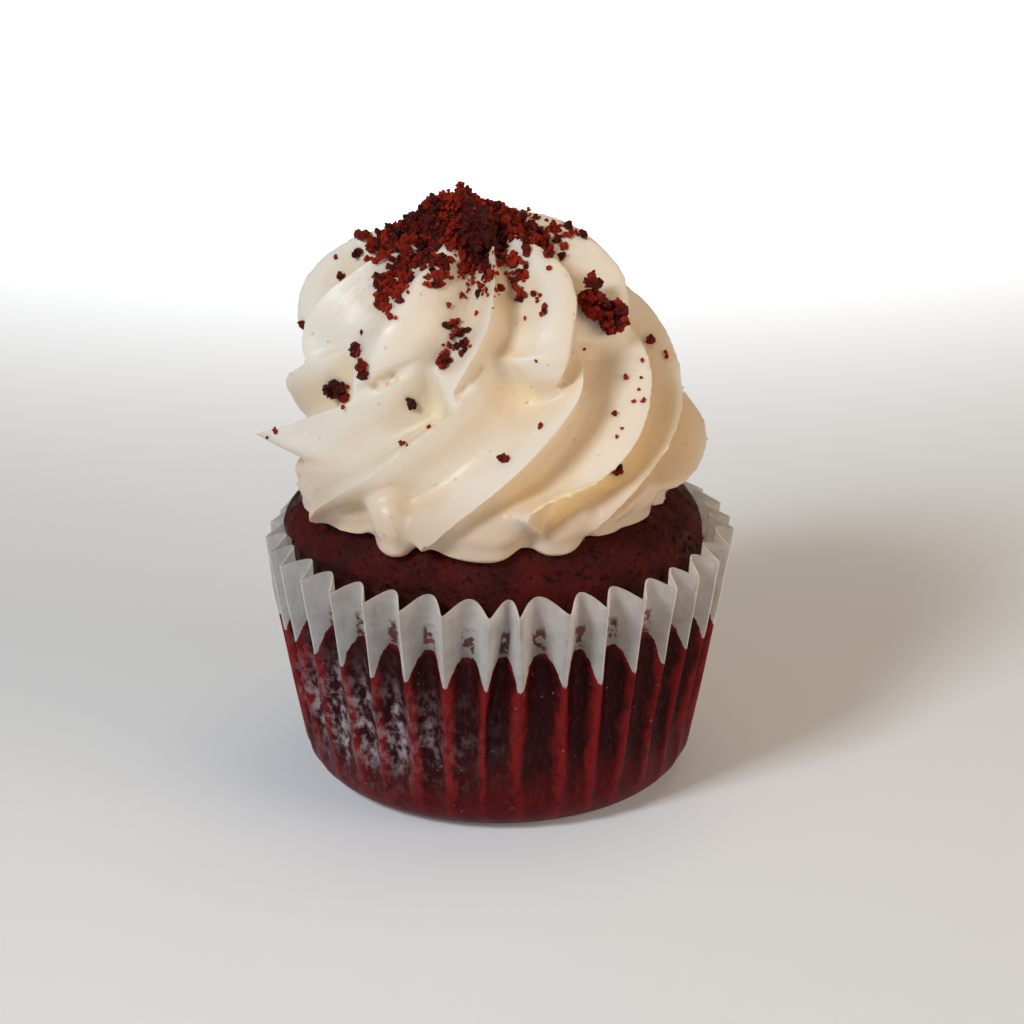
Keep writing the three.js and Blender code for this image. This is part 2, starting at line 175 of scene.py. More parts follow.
def apply_modifier(piece: Piece, kind: str, **settings: object) -> None:
    """Add a modifier and apply it.

    Args:
        piece: The piece to change.
        kind: The modifier's type.
        settings: The modifier's values by name.
    """
    pick(piece)
    modifier = piece.modifiers.new(kind.title(), kind)
    for key, value in settings.items():
        setattr(modifier, key, value)
    bpy.ops.object.modifier_apply(modifier=modifier.name)


def join(name: str, *pieces: Piece) -> Piece:
    """Join pieces into one mesh with a name of its own."""
    pick(*pieces)
    bpy.ops.object.join()
    return take(name)


def shade_smooth(piece: Piece, angle: float) -> None:
    """Shade smooth over edges that are flatter than an angle in degrees."""
    pick(piece)
    bpy.ops.object.shade_smooth_by_angle(angle=math.radians(angle))


def dress(piece: Piece, material: bpy.types.Material, slot: str, *nodes: str) -> None:
    """Give a piece its material, and tie it to the frame.

    Args:
        piece: The finished piece.
        material: Its material.
        slot: The record's material slot; not used.
        nodes: The solids that it stands for.
    """
    piece.data.materials.clear()
    piece.data.materials.append(material)
    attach(piece, BODY)
    if nodes:
        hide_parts(*nodes)
    LOG.info("%s: %d vertices, stands for %s", piece.name, len(piece.data.vertices), nodes or "nothing")


def surface_of(piece: Piece) -> BVHTree:
    """Make a search tree of a mesh piece."""
    mesh = piece.data
    corners = [vertex.co.copy() for vertex in mesh.vertices]
    return BVHTree.FromPolygons(corners, [tuple(face.vertices) for face in mesh.polygons])


def smooth_step(low: float, high: float, values: np.ndarray) -> np.ndarray:
    """Rise smoothly from 0 at low to 1 at high."""
    share = np.clip((values - low) / (high - low), 0, 1)
    return share * share * (3 - 2 * share)


def noise_at(points: np.ndarray, scale: float, seed: float = 0) -> np.ndarray:
    """Sample smooth noise from about -1 to 1.

    Args:
        points: One row of x, y, z for each sample.
        scale: The size of a lump, in the points' own unit.
        seed: Moves the pattern.

    Returns:
        One number for each point.
    """
    shift = Vector((seed * 17.3, seed * 5.1, seed * 9.7))
    return np.array([noise.noise(Vector(point) / scale + shift) for point in points])


def cells_at(points: np.ndarray, scale: float, seed: float = 0) -> np.ndarray:
    """Sample how far points lie from the middles of uneven cells: 0 in a middle, about 0.8 between."""
    shift = Vector((seed * 3.7, seed * 1.9, seed * 5.3))
    return np.array([noise.voronoi(Vector(point) / scale + shift)[0][0] for point in points])


# ---- Outlines ----------------------------------------------------------------------------------


def azimuth_angle(azimuth: float | np.ndarray) -> float | np.ndarray:
    """Turn an azimuth, in degrees from the front, into an angle about +Z in radians."""
    return np.radians(azimuth - 90.0)


def lengths_along(path: np.ndarray) -> np.ndarray:
    """Add up the length from a path's first point to each of its points."""
    return np.concatenate([[0], np.cumsum(np.linalg.norm(np.diff(path, axis=0), axis=1))])


def spline_through(points: Outline, samples: int) -> np.ndarray:
    """Sample a Catmull-Rom spline.

    Args:
        points: The radius and height of each point on it.
        samples: How many samples each of its pieces gives.

    Returns:
        One row of radius, height for each sample.
    """
    nodes = np.array(points, dtype=float)
    last = len(nodes) - 1
    rows = []
    for i in range(last):
        before, start, end, after = nodes[max(i - 1, 0)], nodes[i], nodes[i + 1], nodes[min(i + 2, last)]
        leave, arrive = (end - before) / 2, (after - start) / 2
        for t in np.arange(samples) / samples:
            cubic = (2 * start - 2 * end + leave + arrive) * t**3
            square = (3 * end - 3 * start - 2 * leave - arrive) * t**2
            rows.append(cubic + square + leave * t + start)
    rows.append(nodes[-1])
    return np.array(rows)


def smooth_values(places: Sequence[float], values: Sequence[float], where: np.ndarray) -> np.ndarray:
    """Follow a smooth curve through values, level beyond its ends.

    Args:
        places: The rising places of the values.
        values: The values.
        where: The places to read.

    Returns:
        The curve's value at each place.
    """
    x, y = np.array(places, dtype=float), np.array(values, dtype=float)
    ahead, back = np.append(y[1:], y[-1]), np.append(y[0], y[:-1])
    slope = (ahead - back) / (np.append(x[1:], x[-1]) - np.append(x[0], x[:-1]))
    at = np.clip(where, x[0], x[-1])
    i = np.clip(np.searchsorted(x, at, side="right") - 1, 0, len(x) - 2)
    width, climb = x[i + 1] - x[i], y[i + 1] - y[i]
    t = (at - x[i]) / width
    leave, arrive = slope[i] * width - climb, slope[i + 1] * width - climb
    return y[i] + climb * t + t * (1 - t) * (leave * (1 - t) - arrive * t)


@dataclass(frozen=True)
class EvenOutline:
    """An outline sampled at even steps of its length."""

    radius: np.ndarray
    height: np.ndarray
    normal_radius: np.ndarray
    normal_height: np.ndarray
    length: np.ndarray

    @classmethod
    def along(cls, points: Outline, steps: int) -> "EvenOutline":
        """Sample a spline evenly.

        Args:
            points: The outline's points, from the axis outwards and down.
            steps: The number of steps.

        Returns:
            The sampled outline.
        """
        fine = spline_through(points, 60)
        walked = lengths_along(fine)
        length = np.linspace(0, walked[-1], steps + 1)
        radius = np.interp(length, walked, fine[:, 0])
        height = np.interp(length, walked, fine[:, 1])
        along = np.stack([np.gradient(radius, length), np.gradient(height, length)])
        along /= np.linalg.norm(along, axis=0)
        return cls(np.maximum(radius, 0), height, -along[1], along[0], length)

    def at(self, length: np.ndarray) -> list[np.ndarray]:
        """Read the radius, the height and the normal's radius and height at lengths of the outline."""
        rows = (self.radius, self.height, self.normal_radius, self.normal_height)
        return [np.interp(length, self.length, row) for row in rows]

    def length_at(self, level: float) -> float:
        """Find the length at which the outline first falls below a height."""
        below = int(np.argmax((self.height <= level) & (self.length > 0)))
        a, b = below - 1, below
        share = (self.height[a] - level) / (self.height[a] - self.height[b])
        return float(self.length[a] + (self.length[b] - self.length[a]) * share)


# ---- Materials ---------------------------------------------------------------------------------


class Nodes:
    """A material's node tree, built one node at a time."""

    def __init__(self, name: str) -> None:
        """Start a named material with a Principled shader."""
        self.material = bpy.data.materials.new(name)
        self.material.use_nodes = True
        self.tree = self.material.node_tree
        self.shader = self.tree.nodes["Principled BSDF"]
        self.place = self.add("ShaderNodeTexCoord").outputs["Object"]

    def add(self, kind: str, **values: object) -> bpy.types.Node:
        """Add a node of a kind, with values for its own properties."""
        node = self.tree.nodes.new(kind)
        for key, value in values.items():
            setattr(node, key, value)
        return node

    def feed(self, value: Socket | float | Sequence[float], target: Socket) -> None:
        """Link an output to an input, or set the input to a fixed value."""
        if isinstance(value, Socket):
            self.tree.links.new(value, target)
        else:
            target.default_value = value

    def set(self, **values: object) -> None:
        """Feed the shader's own sockets, with _ for a space in their names."""
        for key, value in values.items():
            self.feed(value, self.shader.inputs[key.replace("_", " ")])

    def attribute(self, name: str) -> Socket:
        """Read one number that the mesh stores for each vertex."""
        return self.add("ShaderNodeAttribute", attribute_name=name).outputs["Fac"]

    def noise(self, size: float, detail: float = 4, rough: float = 0.55, stretch: Sequence[float] = (1, 1, 1),
              place: Socket | None = None) -> Socket:
        """Add noise.

        Args:
            size: The size of a lump in metres.
            detail: The number of finer layers.
            rough: The strength of each finer layer.
            stretch: How many times longer the lumps are along each axis.
            place: The coordinates to use in place of the object's own.

        Returns:
            The noise, from 0 to 1.
        """
        mapping = self.add("ShaderNodeMapping")
        mapping.inputs["Scale"].default_value = [1 / (size * share) for share in stretch]
        self.feed(place or self.place, mapping.inputs["Vector"])
        texture = self.add("ShaderNodeTexNoise")
        texture.inputs["Scale"].default_value = 1.0
        texture.inputs["Detail"].default_value = detail
        texture.inputs["Roughness"].default_value = rough
        self.feed(mapping.outputs["Vector"], texture.inputs["Vector"])
        return texture.outputs["Fac"]

    def pores(self, size: float, share: float) -> Socket:
        """Add round pits, one in the middle of each uneven cell.

        Args:
            size: The distance between cells in metres.
            share: The share of a cell's size that a pit's radius takes.

        Returns:
            1 in a pit's middle, falling to 0 at its edge and beyond.
        """
        texture = self.add("ShaderNodeTexVoronoi")
        texture.inputs["Scale"].default_value = 1 / size
        self.feed(self.place, texture.inputs["Vector"])
        return self.ramp(texture.outputs["Distance"], (0.0, 1.0), (share, 0.0))

    def ramp(self, source: Socket, *stops: Pair) -> Socket:
        """Bend a number.

        Args:
            source: The number.
            stops: Where each stop lies, and the number there.

        Returns:
            The bent number.
        """
        ramp = self.add("ShaderNodeValToRGB")
        elements = ramp.color_ramp.elements
        for i, (where, value) in enumerate(stops):
            element = elements[i] if i < 2 else elements.new(where)
            element.position = where
            element.color = (value, value, value, 1)
        self.feed(source, ramp.inputs["Fac"])
        return ramp.outputs["Color"]

    def span(self, source: Socket, low: float, high: float,
             ends: Pair = (0.0, 1.0)) -> Socket:
        """Rise or fall smoothly between two values of a number.

        Args:
            source: The number.
            low: Where the change starts.
            high: Where it ends.
            ends: The results at low and at high.

        Returns:
            The result.
        """
        node = self.add("ShaderNodeMapRange", interpolation_type="SMOOTHSTEP")
        self.feed(source, node.inputs["Value"])
        for key, value in zip(("From Min", "From Max", "To Min", "To Max"), (low, high, *ends)):
            node.inputs[key].default_value = value
        return node.outputs["Result"]

    def times(self, *numbers: Socket | float) -> Socket:
        """Multiply numbers."""
        return reduce(partial(self.math, "MULTIPLY"), numbers)

    def plus(self, *numbers: Socket | float) -> Socket:
        """Add numbers."""
        return reduce(partial(self.math, "ADD"), numbers)

    def between(self, share: Socket, low: float, high: float) -> Socket:
        """Turn a share from 0 to 1 into a number from low to high."""
        return self.plus(self.times(share, high - low), low)

    def height(self) -> Socket:
        """Read the height above the table, in metres."""
        split = self.add("ShaderNodeSeparateXYZ")
        self.feed(self.place, split.inputs["Vector"])
        return split.outputs["Z"]

    def math(self, operation: str, a: Socket | float, b: Socket | float = 0.0,
             clamp: bool = False) -> Socket:
        """Work out a number from one or two others.

        Args:
            operation: The Math node's operation.
            a: The first number.
            b: The second number.
            clamp: Whether to keep the result from 0 to 1.

        Returns:
            The result.
        """
        node = self.add("ShaderNodeMath", operation=operation, use_clamp=clamp)
        for socket, value in zip(node.inputs, (a, b)):
            self.feed(value, socket)
        return node.outputs[0]

    def coat(self, base: Socket | Colour, *coats: tuple[Socket, Socket | Colour]) -> Socket:
        """Lay colours over a base colour.

        Args:
            base: The base colour.
            coats: How much of what is below each coat hides, from 0 to 1, and its colour.

        Returns:
            The colour of them all.
        """
        for share, colour in coats:
            node = self.add("ShaderNodeMix", data_type="RGBA")
            inputs = {socket.identifier: socket for socket in node.inputs}
            self.feed(share, inputs["Factor_Float"])
            for key, value in (("A_Color", base), ("B_Color", colour)):
                self.feed(value if isinstance(value, Socket) else (*value, 1), inputs[key])
            base = next(socket for socket in node.outputs if socket.identifier == "Result_Color")
        return base

    def bump(self, *layers: tuple[Socket, float]) -> None:
        """Stack bumps onto the shader's normal.

        Args:
            layers: Each layer's height, from 0 to 1, and its full height in metres.
        """
        below = None
        for height, distance in layers:
            node = self.add("ShaderNodeBump", invert=distance < 0)
            node.inputs["Distance"].default_value = abs(distance)
            self.feed(height, node.inputs["Height"])
            if below:
                self.feed(below, node.inputs["Normal"])
            below = node.outputs["Normal"]
        self.feed(below, self.shader.inputs["Normal"])


@dataclass(frozen=True)
class CreamFinish:
    """Whipped cream cheese: ivory, a little translucent, with fine streaks, burst bubbles and painted shade,
    glow and highlights.
    """

    ivory: Colour = (0.90, 0.84, 0.755)
    warm: Colour = (0.885, 0.78, 0.635)
    # painted highlight: a near-white laid along the crests, where they catch the light
    rim: Colour = (0.96, 0.93, 0.88)
    # painted shade: a darker peach laid on the faces in the hollows, away from the crests
    crease_shade: Colour = (0.84, 0.69, 0.50)
    # painted shade: the cream darkens towards its underside near the sponge, where the light from above falls
    # short
    low: Colour = (0.70, 0.53, 0.385)
    # painted light: a bright yellow in the deepest creases, standing in for light scattered through the cream
    deep_crease_glow: Colour = (1.0, 0.81, 0.46)
    # painted light: the colour of a faint emission that makes the deepest creases glow
    glow: Colour = (1.0, 0.78, 0.42)
    seen_through: Colour = (1.0, 0.66, 0.36)
    # heights over which the painted shade near the sponge fades out
    low_shade_band: Pair = (43 * MM, 51 * MM)
    streak: float = 0.9 * MM
    streak_stretch: float = 14
    bubble: float = 1.9 * MM

    def material(self) -> bpy.types.Material:
        """Build the material, which reads the attributes hollow, crest, streaky, across and along."""
        nodes = Nodes("cream_frosting")
        hollow, crest = nodes.attribute("hollow"), nodes.attribute("crest")
        off_crest = nodes.span(crest, 0.0, 0.02, (1, 0))
        deep = nodes.times(nodes.span(hollow, 0.36, 0.64), off_crest)
        # the base colour carries painted shade in the hollows and near the sponge, a painted glow in the
        # deepest creases and a painted highlight on the crests
        base = nodes.coat(
            self.ivory,
            (nodes.times(nodes.noise(7 * MM, 2), 0.35), self.warm),
            # painted shade in the hollows
            (nodes.times(nodes.span(hollow, 0.05, 0.36), off_crest, 0.8), self.crease_shade),
            # painted shade low on the cream, near the sponge
            (nodes.span(nodes.height(), *self.low_shade_band, (0.85, 0.0)), self.low),
            # painted glow in the deepest creases
            (nodes.times(deep, 0.6), self.deep_crease_glow),
            # painted highlight along the crests
            (nodes.times(nodes.span(crest, 0.012, 0.05), 0.7), self.rim),
        )
        flow = nodes.add("ShaderNodeCombineXYZ")
        nodes.feed(nodes.attribute("across"), flow.inputs["X"])
        nodes.feed(nodes.attribute("along"), flow.inputs["Y"])
        streaks = nodes.noise(self.streak, 2, 0.6, (1, self.streak_stretch, 1), flow.outputs[0])
        streaks = nodes.times(streaks, nodes.attribute("streaky"))
        lumps = nodes.noise(2.4 * MM, 3, 0.5)
        some = nodes.ramp(nodes.noise(6 * MM, 1), (0.46, 0.0), (0.56, 1.0))
        bubbles = nodes.times(nodes.pores(self.bubble, 0.14), some)
        nodes.bump((streaks, 0.14 * MM), (lumps, 0.16 * MM), (bubbles, -0.25 * MM))
        nodes.set(Base_Color=base, Roughness=nodes.between(nodes.noise(1.2 * MM, 2), 0.28, 0.48))
        # painted light: the deepest creases glow with a faint emission, though the cream is no lamp
        nodes.set(Emission_Color=(*self.glow, 1), Emission_Strength=nodes.times(deep, 0.07))
        nodes.set(Subsurface_Weight=0.35, Subsurface_Scale=2 * MM, Subsurface_Radius=self.seen_through)
        nodes.set(Specular_IOR_Level=0.5, IOR=1.45)
        return nodes.material


@dataclass(frozen=True)
class SpongeFinish:
    """Moist dark red sponge with open pores."""

    crumb: Colour = (0.090, 0.0062, 0.006)
    crust: Colour = (0.036, 0.0042, 0.0048)
    glow: Colour = (0.12, 0.011, 0.008)
    # painted shade: the pores are coloured near-black, as the shade inside them
    pit: Colour = (0.012, 0.0016, 0.0018)

    def material(self) -> bpy.types.Material:
        """Build the material, which reads the attribute pit."""
        nodes = Nodes("red_sponge")
        patches = nodes.ramp(nodes.noise(6 * MM, 3), (0.38, 0.0), (0.66, 1.0))
        specks = nodes.ramp(nodes.noise(0.8 * MM, 3, 0.7), (0.45, 0.0), (0.72, 1.0))
        base = nodes.coat(self.crust, (patches, self.crumb), (nodes.times(specks, 0.5), self.glow),
                          # painted shade inside the pores
                          (nodes.attribute("pit"), self.pit))
        fine = nodes.noise(0.5 * MM, 4, 0.7)
        coarse = nodes.noise(1.6 * MM, 3, 0.6)
        holes = nodes.pores(0.9 * MM, 0.3)
        nodes.bump((coarse, 0.5 * MM), (fine, 0.32 * MM), (holes, -0.4 * MM))
        moist = nodes.span(nodes.noise(4 * MM, 2), 0.45, 0.65, (0.55, 0.22))
        rough = nodes.plus(nodes.times(nodes.noise(0.7 * MM, 2), 0.25), moist)
        nodes.set(Base_Color=base, Roughness=rough, Specular_IOR_Level=0.2, IOR=1.4)
        return nodes.material


@dataclass(frozen=True)
class CrumbFinish:
    """Broken red crumb: each one a little lighter or darker."""

    light: Colour = (0.50, 0.040, 0.016)
    dark: Colour = (0.040, 0.0030, 0.0030)

    def material(self) -> bpy.types.Material:
        """Build the material, which reads the attribute tone."""
        nodes = Nodes("red_crumbs")
        grain = nodes.noise(0.45 * MM, 3, 0.7)
        tone = nodes.math("ADD", nodes.times(nodes.attribute("tone"), 0.75),
                          nodes.times(nodes.plus(grain, -0.5), 1.1), clamp=True)
        nodes.bump((nodes.noise(0.9 * MM, 3, 0.65), 0.3 * MM), (grain, 0.2 * MM))
        nodes.set(Base_Color=nodes.coat(self.dark, (tone, self.light)),
                  Roughness=nodes.between(nodes.plus(grain, tone), 0.2, 0.5),
                  Specular_IOR_Level=nodes.span(tone, 0.0, 0.5, (0.2, 0.08)))
        return nodes.material


@dataclass(frozen=True)
class PaperFinish:
    """Greaseproof paper: pale where it hangs free, soaked dark red where it clings to the sponge."""

    paper: Colour = (0.76, 0.69, 0.64)
    cloudy: Colour = (0.61, 0.54, 0.50)
    # partly the dark sponge seen through thin paper, partly painted shade in the inner folds
    thin_shade: Colour = (0.29, 0.22, 0.21)
    ridge: Colour = (0.21, 0.0095, 0.0105)
    valley: Colour = (0.026, 0.0028, 0.0033)
    smooth: Colour = (0.13, 0.0075, 0.0085)
    bloom: Colour = (0.42, 0.33, 0.36)
    fibre: Colour = (0.2, 0.03, 0.03)
    seen_through: Colour = (1.0, 0.9, 0.8)
    soaked_to: Pair = (23.0 * MM, 27.6 * MM)
    spotted_from: Pair = (27.6 * MM, 28.2 * MM)
    spotted_to: Pair = (30.6 * MM, 32.0 * MM)

    def material(self) -> bpy.types.Material:
        """Build the material.

        Returns:
            The material, which reads the attributes fold, from 0 on an outer fold to 1 on an inner one,
            and bloom, where fat has dried pale.
        """
        nodes = Nodes("case_paper")
        fold, height = nodes.attribute("fold"), nodes.height()
        fibre = nodes.noise(0.5 * MM, 3, 0.65, (1, 1, 3))
        cloud = nodes.noise(3.0 * MM, 3, 0.6)
        above = self.above_edge(nodes, fold, height)
        soaked = nodes.span(above, -0.12 * MM, 0.12 * MM, (1, 0))
        wetness = nodes.math("MAXIMUM", soaked, self.spots(nodes, fold, height))
        # darker just above the soaked edge towards the inner folds: partly the dark sponge seen through the
        # thin clinging paper, partly painted shade in the folds
        clinging_shade = nodes.times(nodes.span(above, 0, 4.5 * MM, (1, 0)), nodes.span(fold, 0.2, 0.8), 0.8)
        dry = nodes.coat(self.paper, (nodes.span(cloud, 0.35, 0.7), self.cloudy), (clinging_shade, self.thin_shade))
        blotches = nodes.span(nodes.noise(1.6 * MM, 4, 0.7), 0.5, 0.68)
        wet = nodes.coat(self.wet_colour(nodes, fold, height, above),
                         (nodes.times(nodes.span(fibre, 0.48, 0.75), 0.3), self.fibre),
                         (nodes.times(blotches, 0.6), self.valley))
        nodes.bump((cloud, 0.2 * MM), (fibre, 0.06 * MM))
        nodes.set(Base_Color=nodes.coat(dry, (wetness, wet)), Roughness=nodes.between(wetness, 0.65, 0.42))
        nodes.set(Subsurface_Weight=nodes.between(wetness, 0.75, 0.1), Subsurface_Scale=3 * MM)
        nodes.set(Subsurface_Radius=self.seen_through, Specular_IOR_Level=0.07)
        return nodes.material

    def above_edge(self, nodes: Nodes, fold: Socket, height: Socket) -> Socket:
        """Measure the height above the soaked edge: low in a tongue on each outer fold, high between.

        Args:
            nodes: The material's nodes.
            fold: The place across a pleat.
            height: The height above the table.

        Returns:
            The height above the edge.
        """
        low, high = self.soaked_to
        climb = nodes.ramp(fold, (0.0, 0.0), (0.12, 0.04), (0.26, 0.36), (0.45, 0.72), (0.72, 1.0))
        broad, fine = nodes.noise(5 * MM, 1), nodes.noise(1.1 * MM, 3)
        waver = nodes.plus(nodes.times(broad, 2.2 * MM), nodes.times(fine, 1.2 * MM), -1.7 * MM)
        return nodes.math("SUBTRACT", height, nodes.plus(nodes.times(climb, high - low), waver, low))

    def spots(self, nodes: Nodes, fold: Socket, height: Socket) -> Socket:
        """Draw the mottled spots where the inner folds touch the sponge above the soaked edge."""
        blot = nodes.span(nodes.noise(1.3 * MM, 3, 0.6), 0.45, 0.52)
        above = nodes.span(height, *self.spotted_from)
        below = nodes.span(height, *self.spotted_to, (1, 0))
        return nodes.times(blot, above, below, nodes.span(fold, 0.62, 0.76), 0.9)

    def wet_colour(self, nodes: Nodes, fold: Socket, height: Socket, above: Socket) -> Socket:
        """Colour the soaked paper: bright on the ridges, dark between, and even near the bottom.

        Args:
            nodes: The material's nodes.
            fold: The place across a pleat.
            height: The height above the table.
            above: The height above the soaked edge.

        Returns:
            The colour.
        """
        patchy = nodes.plus(nodes.noise(2.2 * MM, 3, 0.6, (1, 1, 1.8)), -0.5)
        broad = nodes.times(nodes.plus(nodes.noise(8 * MM, 2), -0.5), 0.8)
        between = nodes.span(nodes.plus(fold, nodes.times(patchy, 0.8), broad), 0.06, 0.46)
        low = nodes.span(nodes.plus(height, nodes.times(patchy, 12 * MM)), 3 * MM, 12 * MM, (0.75, 0.0))
        lip = nodes.times(nodes.span(above, -1.3 * MM, -0.2 * MM), nodes.span(patchy, -0.1, 0.15), 0.8)
        grain = nodes.span(nodes.noise(1.4 * MM, 4, 0.65, (1, 1, 1.4)), 0.42, 0.66)
        specks = nodes.times(nodes.pores(1.7 * MM, 0.13), nodes.span(nodes.noise(6 * MM, 1), 0.5, 0.6), 0.6)
        return nodes.coat(self.ridge, (between, self.valley), (low, self.smooth), (lip, self.ridge),
                          (nodes.times(grain, nodes.attribute("bloom")), self.bloom), (specks, self.bloom))


# ---- The paper case ----------------------------------------------------------------------------


@dataclass
class PaperCase:
    """The pleated cup of greaseproof paper."""

    pleats: int = 36
    flat_radius: float = 21.0
    corner_radius: float = 6.3
    height: float = 34.4
    lean: float = math.radians(11.2)
    oval: float = 0.012
    sheet: float = 0.16
    fold_share: float = 0.72
    first_fold: float = -3.2
    fold_powers: Pair = (0.6, 0.9)
    fold_round: float = 0.2
    rim_waver: float = 1.5
    nip_azimuth: float = -132.0
    nip_from: float = 27.0
    nip_depth: float = 2.6
    uneven_rim: float = 0.07
    uneven_swing: float = 0.05
    uneven_depth: float = 0.07
    uneven_folds: float = 0.11
    seed: int = 3
    columns_per_pleat: int = 14
    flat_steps: tuple[float, ...] = (0.5, 0.85, 1.0)
    corner_steps: int = 10
    wall_steps: int = 26
    finish: PaperFinish = field(default_factory=PaperFinish)

    def rows(self) -> np.ndarray:
        """Work out the cup's outline.

        Returns:
            One row of radius, height, how far the normal points outwards, and the length from the middle.
        """
        turn = math.pi / 2 - self.lean
        turns = turn * np.arange(1, self.corner_steps + 1) / self.corner_steps
        corner = np.stack([
            self.flat_radius + self.corner_radius * np.sin(turns),
            self.corner_radius * (1 - np.cos(turns)),
            np.sin(turns),
            self.flat_radius + self.corner_radius * turns,
        ], axis=1)
        wall = (self.height - corner[-1, 1]) / math.cos(self.lean)
        along = wall * np.arange(1, self.wall_steps + 1)[:, None] / self.wall_steps
        climb = np.array([math.sin(self.lean), math.cos(self.lean), 0, 1])
        flats = [[self.flat_radius * step, 0, 0, self.flat_radius * step] for step in self.flat_steps]
        return np.concatenate([flats, corner, corner[-1] + along * climb])

    def depth(self, radius: np.ndarray, length: np.ndarray) -> np.ndarray:
        """Work out how deep the pleats are: they take up what a flat disc has over the cup's girth."""
        return self.fold_share * math.pi / self.pleats * np.sqrt(np.maximum(0, length**2 - radius**2))

    def build(self) -> None:
        """Model the case: a disc drawn up into a plain cup, then pleated, stained and given its thickness."""
        rows = self.rows()
        columns = self.pleats * self.columns_per_pleat
        deselect_all()
        bpy.ops.mesh.primitive_circle_add(vertices=columns, radius=rows[0, 0] * MM, fill_type="NGON")
        piece = take("paper_case_sheet")
        bpy.ops.object.mode_set(mode="EDIT")
        bpy.ops.mesh.select_all(action="SELECT")
        bpy.ops.mesh.normals_make_consistent(inside=False)
        bpy.ops.mesh.flip_normals()
        for before, row in zip(rows[:-1], rows[1:]):
            bpy.ops.mesh.select_non_manifold()
            rise, wider = (row[1] - before[1]) * MM, row[0] / before[0]
            bpy.ops.mesh.extrude_edges_move(TRANSFORM_OT_translate={"value": (0, 0, rise)})
            bpy.ops.transform.resize(value=(wider, wider, 1))
        bpy.ops.object.mode_set(mode="OBJECT")
        self.pleat(piece, rows, columns)
        apply_modifier(piece, "SOLIDIFY", thickness=self.sheet * MM, offset=-1.0)
        shade_smooth(piece, 50)
        dress(piece, self.finish.material(), "case_paper", "paper_case")

    def pleat(self, piece: Piece, rows: np.ndarray, columns: int) -> None:
        """Fold the plain cup into pleats and stain it.

        Args:
            piece: The plain cup.
            rows: Its outline.
            columns: Its number of columns.
        """
        points = read_points(piece) / MM
        x, y, z = points.T
        column = np.round(np.arctan2(y, x) / (2 * math.pi) * columns).astype(int) % columns
        nearest = np.argmin(np.hypot(np.hypot(x, y)[:, None] - rows[:, 0], z[:, None] - rows[:, 1]), axis=1)
        radius, height, normal, length = rows[nearest].T
        front = round(columns * 0.75)
        turned = (column - front) / self.columns_per_pleat
        pleat = np.floor(turned).astype(int) % self.pleats
        phase = turned - np.floor(turned)
        up = (height / self.height) ** 2
        edges, swing, waver = self.unevenness(pleat, phase, height, up)
        fold = self.fold(phase, height)
        azimuth = self.first_fold + (turned + edges + swing * np.sin(math.pi * phase)) * 360 / self.pleats
        angle = azimuth_angle(azimuth)
        pressed_flat = 0.35 + 0.65 * smooth_step(3, 15, height)
        depth = self.depth(radius, length) * waver * pressed_flat
        inwards = depth * fold + self.nip(angle, height) * (1 - fold)
        crumple = noise_at(np.stack([np.cos(angle) * 30, np.sin(angle) * 30, height], 1), 7.0, 2) * 0.22 * up
        out = np.maximum(0, radius - normal * inwards + crumple)
        moved = np.stack([
            out * np.cos(angle) * (1 - self.oval * up),
            out * np.sin(angle) * (1 + self.oval * up),
            height + self.rim_waver * fold * up**2 + 0.12 * up * noise_at(points * [1, 1, 0], 1.5, 4),
        ], axis=1)
        write_points(piece, moved * MM)
        across = 1 - np.abs(2 * phase - 1)
        write_attribute(piece, "fold", across)
        write_attribute(piece, "bloom", self.bloom(moved, across))

    def unevenness(self, pleat: np.ndarray, phase: np.ndarray, height: np.ndarray,
                   up: np.ndarray) -> tuple[np.ndarray, np.ndarray, np.ndarray]:
        """Make each pleat a little different.

        Args:
            pleat: Each point's pleat.
            phase: Its place across the pleat, from 0 to 1.
            height: Its height.
            up: 0 at the bottom, rising to 1 at the rim.

        Returns:
            How far the pleat's edges and its middle move round the cup, in pleats, and its depth's factor.
        """
        rng = np.random.default_rng(self.seed)
        shift = rng.normal(0, self.uneven_rim, self.pleats)
        bend = rng.normal(0, self.uneven_swing, (self.pleats, 2))
        waver = 1 + rng.normal(0, self.uneven_depth, self.pleats)
        wander = rng.normal(0, self.uneven_folds, (self.pleats, 2)) * [1, 0.6]
        bows = np.stack([np.sin(math.pi * np.clip(height / reach, 0, 1)) for reach in (24, 10)])
        start, end = (shift[fold] * up + np.sum(wander[fold].T * bows, axis=0)
                      for fold in (pleat, (pleat + 1) % self.pleats))
        swing = bend[pleat, 0] * np.sin(height / 9) + bend[pleat, 1] * np.sin(height / 5 + 1)
        return start * (1 - phase) + end * phase, swing, waver[pleat]

    def fold(self, phase: np.ndarray, height: np.ndarray) -> np.ndarray:
        """Shape a pleat: 0 on its outer folds, 1 on its inner one, and fuller near the rim."""
        low, high = self.fold_powers
        power = (low + (high - low) * smooth_step(14, 30, height)) / 2
        soft = self.fold_round**2
        fold = (np.sin(math.pi * phase) ** 2 + soft) ** power - soft**power
        return fold / ((1 + soft) ** power - soft**power)

    def nip(self, angle: np.ndarray, height: np.ndarray) -> np.ndarray:
        """Work out how far the rim is pressed inwards."""
        towards = np.maximum(0, np.cos(angle - azimuth_angle(self.nip_azimuth)))
        up = np.clip((height - self.nip_from) / (self.height - self.nip_from), 0, 1)
        return self.nip_depth * towards**4 * up

